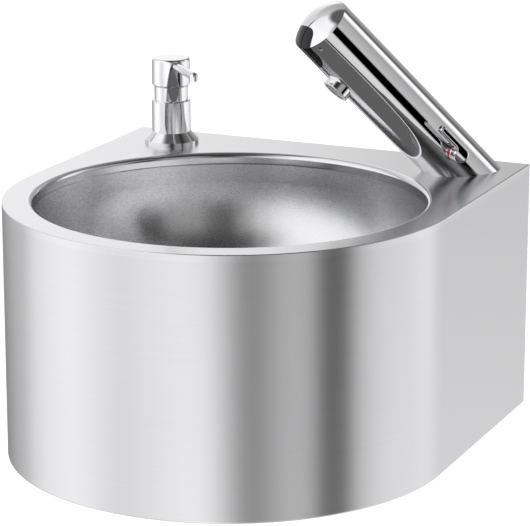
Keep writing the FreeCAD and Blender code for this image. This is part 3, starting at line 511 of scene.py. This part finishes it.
# %% [markdown]
# The masks now change three things: the roughness, the scratches, which the polished rim has none
# of, and the direction of the brushing, which is across on the flat and upright on the lip.

# %% Finish of rim and lip
RIM_ROUGHNESS = 0.13
LIP_EXTRA_ROUGHNESS = 0.12
flat_roughness = deck_shader.inputs["Roughness"].links[0].from_socket
over_rim = maths(deck_tree, "SUBTRACT", flat_roughness, RIM_ROUGHNESS)
over_rim = maths(deck_tree, "MULTIPLY", over_rim, outside_rim)
lip_part = maths(deck_tree, "MULTIPLY", maths(deck_tree, "SUBTRACT", 1.0, off_lip), LIP_EXTRA_ROUGHNESS)
flat_and_rim = maths(deck_tree, "ADD", over_rim, RIM_ROUGHNESS)
deck_tree.links.new(maths(deck_tree, "ADD", flat_and_rim, lip_part), deck_shader.inputs["Roughness"])

deck_bump = deck_shader.inputs["Normal"].links[0].from_node
deck_lines = deck_bump.inputs["Height"].links[0].from_socket
kept_lines = maths(deck_tree, "MULTIPLY", maths(deck_tree, "SUBTRACT", deck_lines, 0.5), outside_rim)
deck_tree.links.new(kept_lines, deck_bump.inputs["Height"])

upright, across_deck = (0, 0, 1), (0, 1, 0)
brushing = blend(deck_tree, off_lip, upright, across_deck, "VECTOR")
deck_tree.links.new(brushing, deck_shader.inputs["Tangent"])
print("deck nodes:", len(deck_tree.nodes))

# %% [markdown]
# ## Plated and turned metal
#
# Chrome is a mirror, and a perfect mirror looks like a drawing of one. What makes it believable is
# a faint unevenness in its gloss, as left by a wiping cloth: noise raises the roughness a little in
# patches. Turned brass and drawn spring wire are the same recipe with more of it.

# %% Materials: chrome, brass, spring wire
def polished(name, colour, roughness, wiping):
    material, tree, shader = new_material(name)
    shader.inputs["Metallic"].default_value = 1
    shader.inputs["Base Color"].default_value = (*colour, 1)
    marks = noise(tree, stretched_place(tree, (60, 60, 60)), 5)
    spread = maths(tree, "MULTIPLY", maths(tree, "SUBTRACT", marks, 0.4), wiping)
    uneven_gloss = maths(tree, "ADD", maths(tree, "MAXIMUM", spread, 0.0), roughness)
    tree.links.new(uneven_gloss, shader.inputs["Roughness"])
    print(name, "roughness", roughness)
    return material


chrome = polished("chrome_plate", (0.83, 0.83, 0.84), 0.02, 0.05)
turned_brass = polished("turned_brass", (0.78, 0.58, 0.28), 0.24, 0.3)
spring_wire = polished("spring_wire", (0.62, 0.62, 0.63), 0.2, 0.1)

# %% [markdown]
# ## Plastics and rubber
#
# A mould leaves its own fine spark-eroded texture on plastic and rubber, and the colour is never
# quite even. Both come from noise: a fine one for the skin and a cloudy one for the colour. The
# soap bottle also lets a little light through, and the sensor's window is a dull black glass.

# %% Materials: plastics and rubber
def moulded(name, colour, roughness, depth, scale=900, soft=0.0, gloss=0.5):
    material, tree, shader = new_material(name)
    shader.inputs["Roughness"].default_value = roughness
    shader.inputs["Specular IOR Level"].default_value = gloss
    shader.inputs["Subsurface Weight"].default_value = soft
    shader.inputs["Subsurface Scale"].default_value = 2 * MM
    skin = noise(tree, stretched_place(tree, (scale, scale, scale)), 2)
    cloud = noise(tree, stretched_place(tree, (45, 45, 45)), 3)
    tint(tree, shader, maths(tree, "ADD", maths(tree, "MULTIPLY", cloud, 0.16), 0.92), colour)
    bump(tree, shader, skin, depth * MM)
    print(name, "roughness", roughness)
    return material


seal_rubber = moulded("seal_rubber", (0.035, 0.035, 0.037), 0.62, 0.03)
module_black = moulded("module_black", (0.03, 0.03, 0.032), 0.5, 0.02)
white_acetal = moulded("white_acetal", (0.82, 0.82, 0.79), 0.42, 0.01)
bottle_plastic = moulded("bottle_plastic", (0.84, 0.85, 0.83), 0.38, 0.01, soft=0.3)
window_black = moulded("window_black", (0.012, 0.012, 0.014), 0.06, 0.0, scale=300, gloss=0.22)
hot_red = moulded("hot_red", (0.55, 0.02, 0.04), 0.2, 0.0, scale=300)
cold_blue = moulded("cold_blue", (0.02, 0.10, 0.45), 0.2, 0.0, scale=300)

# %% [markdown]
# ## Turned pieces
#
# The waste tail, the tap's shank and the dispenser's tube carry screw threads, which the model
# only holds as plain cylinders. On a lathe such a piece starts as an outline beside the axis, and
# it is made the same way here: one point is extruded from corner to corner of the outline, and
# Spin carries the closed outline once round. A ready-made cylinder with edge loops would do for
# one step, but an outline can be read and changed like a drawing. Outlines are lists of (radius,
# height) corners in millimetres.

# %% Helpers: outline, closing, turning
MERGE_DISTANCE = MM / 1000


def outline_to_mesh(name, outline):
    """A closed run of edges through the corners of an outline, in the XZ plane."""
    bpy.ops.object.select_all(action="DESELECT")
    bpy.ops.mesh.primitive_plane_add(size=MM)
    piece = bpy.context.object
    piece.name = name
    bpy.ops.object.mode_set(mode="EDIT")
    bpy.ops.mesh.select_all(action="SELECT")
    bpy.ops.mesh.merge(type="CENTER")
    bpy.ops.transform.translate(value=(outline[0][0] * MM, 0, outline[0][1] * MM))
    for (radius, height), (next_radius, next_height) in zip(outline, outline[1:] + outline[:1]):
        step = ((next_radius - radius) * MM, 0, (next_height - height) * MM)
        bpy.ops.mesh.extrude_region_move(TRANSFORM_OT_translate={"value": step})
    bpy.ops.mesh.select_all(action="SELECT")
    bpy.ops.mesh.remove_doubles(threshold=MERGE_DISTANCE)
    bpy.ops.object.mode_set(mode="OBJECT")
    return piece


def close_and_face_outwards(piece, sharp_angle=40):
    """Merges doubles, closes the poles and holes, and turns all faces outwards."""
    bpy.ops.object.mode_set(mode="EDIT")
    bpy.ops.mesh.select_all(action="SELECT")
    bpy.ops.mesh.remove_doubles(threshold=MERGE_DISTANCE)
    bpy.ops.mesh.dissolve_degenerate(threshold=MERGE_DISTANCE)
    bpy.ops.mesh.select_all(action="SELECT")
    bpy.ops.mesh.delete_loose(use_verts=True, use_edges=True, use_faces=False)
    bpy.ops.mesh.select_all(action="DESELECT")
    bpy.ops.mesh.select_mode(type="VERT")
    bpy.ops.mesh.select_non_manifold()
    bpy.ops.mesh.fill_holes(sides=0)
    bpy.ops.mesh.select_all(action="SELECT")
    bpy.ops.mesh.normals_make_consistent(inside=False)
    bpy.ops.object.mode_set(mode="OBJECT")
    bpy.ops.object.shade_smooth_by_angle(angle=math.radians(sharp_angle))


def turn(name, outline, steps=96):
    piece = outline_to_mesh(name, outline)
    bpy.ops.object.mode_set(mode="EDIT")
    bpy.ops.mesh.select_all(action="SELECT")
    bpy.ops.mesh.spin(steps=steps, angle=2 * math.pi, use_auto_merge=True, center=(0, 0, 0), axis=(0, 0, 1))
    bpy.ops.object.mode_set(mode="OBJECT")
    close_and_face_outwards(piece)
    return piece


print("points closer than", MERGE_DISTANCE / MM, "mm are merged")

# %% [markdown]
# ## Joining pieces and putting them in place
#
# Every new piece is made round the origin, because outlines and threads are easiest there. Then it
# moves to its own axis, and the move is applied, so that its place is in its mesh. Last it is told
# which body of the frame it rides on, which finish it takes and which plain node it stands for.

# %% Helpers: join and put
def join(name, first, *others):
    bpy.ops.object.select_all(action="DESELECT")
    for piece in (first, *others):
        piece.select_set(True)
    bpy.context.view_layer.objects.active = first
    bpy.ops.object.join()
    first.name = name
    return first


def put(piece, axis, material, slot, *stands_for):
    bpy.ops.object.select_all(action="DESELECT")
    piece.select_set(True)
    bpy.context.view_layer.objects.active = piece
    piece.location = (axis[0] * MM, axis[1] * MM, 0)
    bpy.ops.object.transform_apply(location=True, rotation=True, scale=True)
    piece.data.materials.clear()
    piece.data.materials.append(material)
    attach(piece, "basin")
    if stands_for:
        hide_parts(*stands_for)
    triangles = sum(len(face.vertices) - 2 for face in piece.data.polygons)
    print(piece.name, "triangles:", triangles)


print("all new pieces ride on the basin")

# %% [markdown]
# ## Screw threads
#
# A thread is one ridge that climbs by its pitch in every turn. The Screw modifier does exactly
# that to a small four-cornered outline. The ridge is a closed body of its own which sinks a little
# into the core, as cutting the groove out of the core would need a heavy boolean for the same look.
# The crests keep the outer size of the plain cylinders, so that the nuts still fit over them.

# %% Helper: threads
RIDGE_SINK = 0.15           # how far the ridge's foot lies inside the core
FOOT_WIDTH, CREST_WIDTH = 0.44, 0.07        # half widths of the ridge, in pitches
TURN_STEPS = 40


def thread(name, root, crest, pitch, low, high):
    foot, flat = FOOT_WIDTH * pitch, CREST_WIDTH * pitch
    start = low + foot
    ridge = outline_to_mesh(name, [(root - RIDGE_SINK, start - foot), (crest, start - flat),
                                   (crest, start + flat), (root - RIDGE_SINK, start + foot)])
    climb = ridge.modifiers.new("climb", "SCREW")
    climb.axis = "Z"
    climb.angle = 2 * math.pi
    climb.screw_offset = pitch * MM
    climb.iterations = int((high - low - 2 * foot) / pitch)
    climb.steps = TURN_STEPS
    climb.render_steps = TURN_STEPS
    climb.use_smooth_shade = False
    bpy.ops.object.modifier_apply(modifier=climb.name)
    close_and_face_outwards(ridge)
    return ridge


print("steps in one turn of a thread:", TURN_STEPS)

# %% [markdown]
# ## Shank of the tap
#
# The tap is held by a brass shank that hangs through the deck, threaded all along for its nut. Its
# core is a tube with chamfered ends, and the thread leaves the last millimetre free at both ends,
# so that the nut starts easily.

# %% Shank of the tap
SHANK_LOW, SHANK_HIGH = 70.0, 116.0
SHANK_BORE, SHANK_ROOT, SHANK_CREST = 13.0, 15.1, 16.0
shank_core = turn("shank_core", [
    (SHANK_BORE, SHANK_LOW + 0.6), (SHANK_BORE + 0.6, SHANK_LOW), (SHANK_ROOT - 0.7, SHANK_LOW),
    (SHANK_ROOT, SHANK_LOW + 0.7), (SHANK_ROOT, SHANK_HIGH - 0.6), (SHANK_ROOT - 0.5, SHANK_HIGH),
    (SHANK_BORE, SHANK_HIGH)])
shank_ridge = thread("shank_ridge", SHANK_ROOT, SHANK_CREST, 1.5, SHANK_LOW + 1, SHANK_HIGH - 1)
shank = join("threaded_shank", shank_core, shank_ridge)
put(shank, TAP_AXIS, turned_brass, "plain_brass", "tap_shank")

# %% [markdown]
# ## Waste tail
#
# The tail is the pipe under the bowl, with a flange that presses a seal against the bowl from
# below. A small bar bridges its bore, and the waste screw pulls on it from above. Flange and pipe
# are one outline, and the bar is a cube with rounded edges, sunk a little into the pipe's wall.

# %% Waste tail
TAIL_TOP, TAIL_FOOT = -28.0, -94.0
TAIL_BORE, TAIL_ROOT, TAIL_CREST = 18.55, 19.5, 20.95
FLANGE_RADIUS, FLANGE_THICKNESS = 31.0, 3.5
flange_under = TAIL_TOP - FLANGE_THICKNESS
tail_core = turn("tail_core", [
    (TAIL_BORE, TAIL_TOP), (FLANGE_RADIUS - 0.4, TAIL_TOP), (FLANGE_RADIUS, TAIL_TOP - 0.4),
    (FLANGE_RADIUS, flange_under + 0.4), (FLANGE_RADIUS - 0.4, flange_under), (22.2, -33.2), (20.9, -33.5),
    (20.9, -36.0), (TAIL_ROOT, -37.0), (TAIL_ROOT, TAIL_FOOT + 0.8), (TAIL_ROOT - 0.5, TAIL_FOOT),
    (TAIL_BORE, TAIL_FOOT)])
tail_ridge = thread("tail_ridge", TAIL_ROOT, TAIL_CREST, 2.3, TAIL_FOOT + 1, -37.5)

BRIDGE_SIZE = Vector((38.4, 12.0, 6.0))
BRIDGE_HEIGHT = -41.0
bpy.ops.object.select_all(action="DESELECT")
bpy.ops.mesh.primitive_cube_add(size=1)
bridge = bpy.context.object
bridge.scale = BRIDGE_SIZE * MM
bridge.location = (0, 0, BRIDGE_HEIGHT * MM)
bpy.ops.object.transform_apply(location=True, scale=True)
bpy.ops.object.mode_set(mode="EDIT")
bpy.ops.mesh.select_all(action="SELECT")
bpy.ops.mesh.bevel(offset=0.8 * MM, segments=3, affect="EDGES")
bpy.ops.object.mode_set(mode="OBJECT")
close_and_face_outwards(bridge)
waste_tail = join("threaded_tail", tail_core, tail_ridge, bridge)
put(waste_tail, BOWL_AXIS, plain_steel, "waste_steel", "waste_tail")

# %% [markdown]
# ## Threaded tube of the dispenser
#
# This tube hangs through the deck and carries the pump inside and the bottle below. Tube and head
# are one plastic moulding, so they are one outline as well, and only the thread is added.

# %% Threaded tube of the dispenser
TUBE_LOW, TUBE_SHOULDER, TUBE_TOP = 62.0, 111.0, 124.0
TUBE_BORE, TUBE_ROOT, TUBE_CREST = 9.6, 11.4, 12.5
HEAD_RADIUS, HEAD_THICKNESS = 16.3, 3.0
head_under = TUBE_TOP - HEAD_THICKNESS
tube_core = turn("tube_core", [
    (TUBE_BORE, TUBE_LOW + 0.4), (TUBE_BORE + 0.4, TUBE_LOW), (TUBE_ROOT - 0.6, TUBE_LOW),
    (TUBE_ROOT, TUBE_LOW + 0.7), (TUBE_ROOT, TUBE_SHOULDER), (TUBE_CREST, TUBE_SHOULDER + 0.6),
    (TUBE_CREST, head_under), (HEAD_RADIUS - 0.3, head_under), (HEAD_RADIUS, head_under + 0.3),
    (HEAD_RADIUS, TUBE_TOP - 0.3), (HEAD_RADIUS - 0.3, TUBE_TOP), (TUBE_BORE, TUBE_TOP)])
tube_ridge = thread("tube_ridge", TUBE_ROOT, TUBE_CREST, 2.0, TUBE_LOW + 1, TUBE_SHOULDER - 0.2)
dispenser_tube = join("threaded_tube", tube_core, tube_ridge)
put(dispenser_tube, DISPENSER_AXIS, white_acetal, "white_plastic", "dispenser_threaded_tube")

# %% [markdown]
# ## Hexagon nuts
#
# A forged or moulded nut is a six-sided bar whose corners are turned off at a slope, which draws
# the curved line on each flat. Bevelling the corners would give straight lines there. So the nut is
# made as it is in the works: a six-sided cylinder, of which only what it has in common with a
# turned and bored blank is kept. That is one boolean on two simple closed shapes.

# %% Nuts under the deck
CORNER_SLOPE = 0.62         # height over width of the turned-off corners
BORE_CHAMFER = 0.6


def keep_common(piece, tool):
    bpy.ops.object.select_all(action="DESELECT")
    piece.select_set(True)
    bpy.context.view_layer.objects.active = piece
    cut = piece.modifiers.new("cut", "BOOLEAN")
    cut.operation = "INTERSECT"
    cut.object = tool
    cut.solver = "EXACT"
    bpy.ops.object.modifier_apply(modifier=cut.name)
    bpy.data.objects.remove(tool)


def hexagon_nut(name, corner, bore, low, high):
    bpy.ops.object.select_all(action="DESELECT")
    bpy.ops.mesh.primitive_cylinder_add(vertices=6, radius=corner * MM, depth=(high - low) * MM,
                                        location=(0, 0, (high + low) / 2 * MM),
                                        rotation=(0, 0, math.radians(30)))
    nut = bpy.context.object
    nut.name = name
    bpy.ops.object.transform_apply(location=True, rotation=True)
    flat = corner * math.cos(math.radians(30))
    slope = (corner - flat) * CORNER_SLOPE
    past = corner + 0.02
    blank = turn("blank", [(bore, low), (flat - 0.3, low), (past, low + slope), (past, high - slope),
                           (flat - 0.3, high), (bore, high), (bore - BORE_CHAMFER, high - BORE_CHAMFER),
                           (bore - BORE_CHAMFER, low + BORE_CHAMFER)])
    keep_common(nut, blank)
    close_and_face_outwards(nut, sharp_angle=25)
    return nut


tap_nut = hexagon_nut("tap_back_nut", 24.0, SHANK_CREST + 0.05, 91.0, 101.0)
dispenser_nut = hexagon_nut("dispenser_back_nut", 20.0, TUBE_CREST + 0.05, 95.5, 103.5)
put(tap_nut, TAP_AXIS, turned_brass, "plain_brass", "tap_nut")
put(dispenser_nut, DISPENSER_AXIS, white_acetal, "white_plastic", "dispenser_nut")

# %% [markdown]
# ## Mouth of the outlet
#
# Looking up into the outlet, the real one shows a fine honeycomb that calms the water. A grid of
# holes in a disc would need many booleans. One six-sided cell with a thin wall is made instead, and
# its copies fill the mouth in rows. The honeycomb sits in a turned cup.

# %% Honeycomb cells
CELL_RADIUS, CELL_DEPTH, CELL_WALL = 1.15, 3.2, 0.22
CELL_HEIGHT = -28.5
MOUTH_RADIUS = 7.6
ROWS = range(-5, 6)
bpy.ops.object.select_all(action="DESELECT")
bpy.ops.mesh.primitive_cylinder_add(vertices=6, radius=CELL_RADIUS * MM, depth=CELL_DEPTH * MM,
                                    end_fill_type="NOTHING", location=(0, 0, CELL_HEIGHT * MM))
cell = bpy.context.object
bpy.ops.object.transform_apply(location=True)
cell_wall = cell.modifiers.new("wall", "SOLIDIFY")
cell_wall.thickness = CELL_WALL * MM
cell_wall.offset = -1
bpy.ops.object.modifier_apply(modifier=cell_wall.name)
cells = []
spacing = CELL_RADIUS * math.sqrt(3)
for row in ROWS:
    for column in ROWS:
        along = spacing * (column + row / 2)
        aside = spacing * row * math.sqrt(3) / 2
        if math.hypot(along, aside) > MOUTH_RADIUS:
            continue
        copy = cell.copy()
        copy.data = cell.data.copy()
        scene.collection.objects.link(copy)
        copy.data.transform(Matrix.Translation((aside * MM, along * MM, 0)))
        cells.append(copy)
bpy.data.objects.remove(cell)
print("cells:", len(cells))

# %% [markdown]
# The outlet points square away from the leaning tap. Cup and cells are made upright round the
# origin, and one matrix then lays them over: its columns are the directions in which the piece's
# own X, Y and Z have to point. Two turns by angles would do the same, but the tap's lean is easier
# to say as a direction: as far towards the bowl's axis as it goes up.

# %% Cup of the outlet, laid over
OUTLET_ALONG_TUBE = 144.8
cup = turn("mouth_cup", [(0, -26.8), (0, -22.0), (9.8, -22.0), (10.15, -22.4), (10.15, -29.7),
                         (9.8, -30.1), (9.1, -30.1), (8.3, -29.4), (8.3, -26.8)])
honeycomb = join("outlet_honeycomb", cup, *cells)
towards_bowl = Vector((BOWL_AXIS[0] - TAP_AXIS[0], BOWL_AXIS[1] - TAP_AXIS[1], 0)).normalized()
lean = (towards_bowl + Vector((0, 0, 1))).normalized()
outlet_up = (Vector((0, 0, 1)) - towards_bowl).normalized()
across = lean.cross(outlet_up)
outlet = (Vector((*TAP_AXIS, DECK_TOP)) + lean * OUTLET_ALONG_TUBE) * MM
honeycomb.matrix_world = Matrix.Translation(outlet) @ Matrix((lean, -across, outlet_up)).transposed().to_4x4()
bpy.ops.object.transform_apply(location=True, rotation=True)
put(honeycomb, (0, 0), white_acetal, "white_plastic", "aerator_insert")

# %% [markdown]
# ## Weld under the rim
#
# The bowl is welded to the rolled rim of the deck. A weld is a row of small overlapping ripples.
# Modelling each ripple would take hundreds of pieces. A thin torus gives the bead, and every
# fourth ring of its points is drawn in a little, which reads as ripples from below.

# %% Weld bead
WELD_RADIUS, WELD_HEIGHT = 166.1, 101.0
BEAD_RADIUS, RIPPLE_DEPTH = 0.9, 0.28
BEAD_RINGS = 640
bpy.ops.object.select_all(action="DESELECT")
bpy.ops.mesh.primitive_torus_add(location=(0, 0, WELD_HEIGHT * MM), major_radius=WELD_RADIUS * MM,
                                 minor_radius=BEAD_RADIUS * MM, major_segments=BEAD_RINGS, minor_segments=8)
weld = bpy.context.object
weld.name = "rim_weld"
bpy.ops.object.transform_apply(location=True)
bpy.ops.object.mode_set(mode="EDIT")
bpy.ops.mesh.select_mode(type="VERT")
bpy.ops.mesh.select_all(action="DESELECT")
bead = bmesh.from_edit_mesh(weld.data)
for point in bead.verts:
    ring_number = round(math.atan2(point.co.y, point.co.x) / (2 * math.pi) * BEAD_RINGS)
    point.select_set(ring_number % 4 == 0)
bead.select_flush_mode()
bmesh.update_edit_mesh(weld.data)
bpy.ops.transform.shrink_fatten(value=-RIPPLE_DEPTH * MM)
bpy.ops.object.mode_set(mode="OBJECT")
close_and_face_outwards(weld)
put(weld, BOWL_AXIS, plain_steel, "basin_steel")

# %% [markdown]
# ## Polished rim
#
# On the bowl's side that weld is ground away, and rim and joint are polished together, so nothing
# of it is seen there. The polished skin is one turned outline with far more steps round than the
# sheet's own mesh, as a mirror shows every flat. Flats cut across the curve, so the skin stands
# 0.13 mm in front of the upright part, and almost none above the deck.

# %% Polished rim
ROLL_RADIUS = 4.5
ROLL_CENTRE = (169.0, DECK_TOP - ROLL_RADIUS)       # distance from the bowl's axis, height
RIM_INNER = ROLL_CENTRE[0] - ROLL_RADIUS
SKIN_LIFT = (0.02, 0.11)                            # everywhere, and more where the rim stands upright
SKIN_SINK = 0.5                                     # how far its back lies inside the sheet


def roll_arc(radius, lift, first, last, steps=12):
    arc = []
    for step in range(steps + 1):
        angle = math.radians(first + (last - first) * step / steps)
        reach = radius - lift * math.cos(angle)
        arc.append((ROLL_CENTRE[0] + reach * math.cos(angle), ROLL_CENTRE[1] + reach * math.sin(angle)))
    return arc


rim_front = roll_arc(ROLL_RADIUS + SKIN_LIFT[0], SKIN_LIFT[1], 90, 180)
rim_back = roll_arc(ROLL_RADIUS - SKIN_SINK, 0.0, 180, 90)
deck_end = [(ROLL_CENTRE[0] + 0.4, DECK_TOP - 0.1)]
bowl_end = [(RIM_INNER - sum(SKIN_LIFT), WELD_HEIGHT), (RIM_INNER - 0.17, WELD_HEIGHT - 1.4),
            (RIM_INNER + 0.1, WELD_HEIGHT - 1.8), (RIM_INNER + SKIN_SINK, WELD_HEIGHT)]
polished_rim = turn("polished_rim", deck_end + rim_front + bowl_end + rim_back, 320)
put(polished_rim, BOWL_AXIS, deck_steel, "basin_steel")

# %% [markdown]
# ## Soap bottle
#
# The bottle hangs unseen behind the bowl, but it shows through the opening in the back. A blown
# bottle has soft shoulders, shallow grip rings and a base that is pushed up so that it can stand.
# Its wall is one turned outline, outside and then back inside. Where the outline turns, a short
# curve takes the place of the corner.

# %% Soap bottle
BOTTLE_RADIUS, NECK_RADIUS = 34.0, 15.55
NECK_TOP, BOTTLE_FOOT = 80.0, -66.0
GRIP_RINGS = (14, 2, -10)
GRIP_SHAPE = ((0, 2.2), (-0.5, 1.2), (-0.8, 0), (-0.5, -1.2), (0, -2.2))    # in radius and height


def soft_corner(before, corner, after, radius, steps=5):
    before, corner, after = (Vector(point) for point in (before, corner, after))
    start = corner + (before - corner).normalized() * radius
    end = corner + (after - corner).normalized() * radius
    curve = []
    for step in range(steps + 1):
        share = step / steps
        curve.append(tuple(start.lerp(corner, share).lerp(corner.lerp(end, share), share)))
    return curve


outside = [(NECK_RADIUS, NECK_TOP), (NECK_RADIUS, 62.5)]
outside += soft_corner((NECK_RADIUS, 66), (NECK_RADIUS, 61.5), (34, 44), 4)
outside += soft_corner((20, 57.3), (34, 44), (34, 0), 9, 8)
for ring_height in GRIP_RINGS:
    outside += [(BOTTLE_RADIUS + dent, ring_height + rise) for dent, rise in GRIP_SHAPE]
outside += soft_corner((BOTTLE_RADIUS, -50), (BOTTLE_RADIUS, BOTTLE_FOOT), (10, BOTTLE_FOOT), 5)
outside += [(26, BOTTLE_FOOT), (22, -63.4), (12, -62.2), (0, -62)]
inside = [(0, -60.6), (12, -60.8), (22, -61.9), (26.5, -64.4), (29.5, -64.4), (32, -62), (32.2, 34),
          (31.4, 38.5), (27.5, 43.8), (16, 55.5), (12.6, 59.5), (12.6, NECK_TOP)]
bottle = turn("blown_bottle", outside + inside, 72)
put(bottle, DISPENSER_AXIS, bottle_plastic, "bottle_plastic", "soap_bottle")

# %% [markdown]
# ## Dressing the frame
#
# The other pieces have the right shape already and only need a finish. Each finish is written next
# to the names of what wears it, so that a forgotten piece is easy to see: the last line prints it.

# %% Dress the nodes
finishes = {
    wall_steel: ["apron", "back_plate"],
    deck_steel: ["deck_plate"],
    bowl_steel: ["bowl"],
    plain_steel: ["fixing_pads", "tap_stiffener", "dispenser_stiffener", "waste_grid", "waste_tail",
                  "waste_screw", "tap_clamp_washer", "cap_screw", "lever_screw"],
    chrome: ["tap_body", "tap_cap", "aerator_collar", "control_bezel", "temperature_lever",
             "dispenser_flange", "dispenser_collar", "head_sleeve", "push_cap", "soap_spout"],
    turned_brass: ["tap_foot", "tap_shank", "tap_nut", "solenoid_valve", "outlet_pipe",
                   "cartridge_spindle"],
    spring_wire: ["pump_spring"],
    seal_rubber: ["waste_upper_seal", "waste_lower_seal", "tap_base_seal", "tap_clamp_seal",
                  "dispenser_gasket", "dispenser_washer"],
    module_black: ["sensor_module", "solenoid_coil", "battery"],
    white_acetal: ["aerator_insert", "mixing_cartridge", "pump_barrel", "pump_stem", "dip_tube",
                   "dispenser_threaded_tube", "dispenser_nut"],
    bottle_plastic: ["soap_bottle"],
    window_black: ["sensor_window"],
    hot_red: ["hot_marker"],
    cold_blue: ["cold_marker"],
}
dressed = set()
for material, names in finishes.items():
    for name in names:
        materials = nodes[name].data.materials
        materials.clear()
        materials.append(material)
        dressed.add(name)
print("without a finish:", sorted(set(nodes) - dressed))
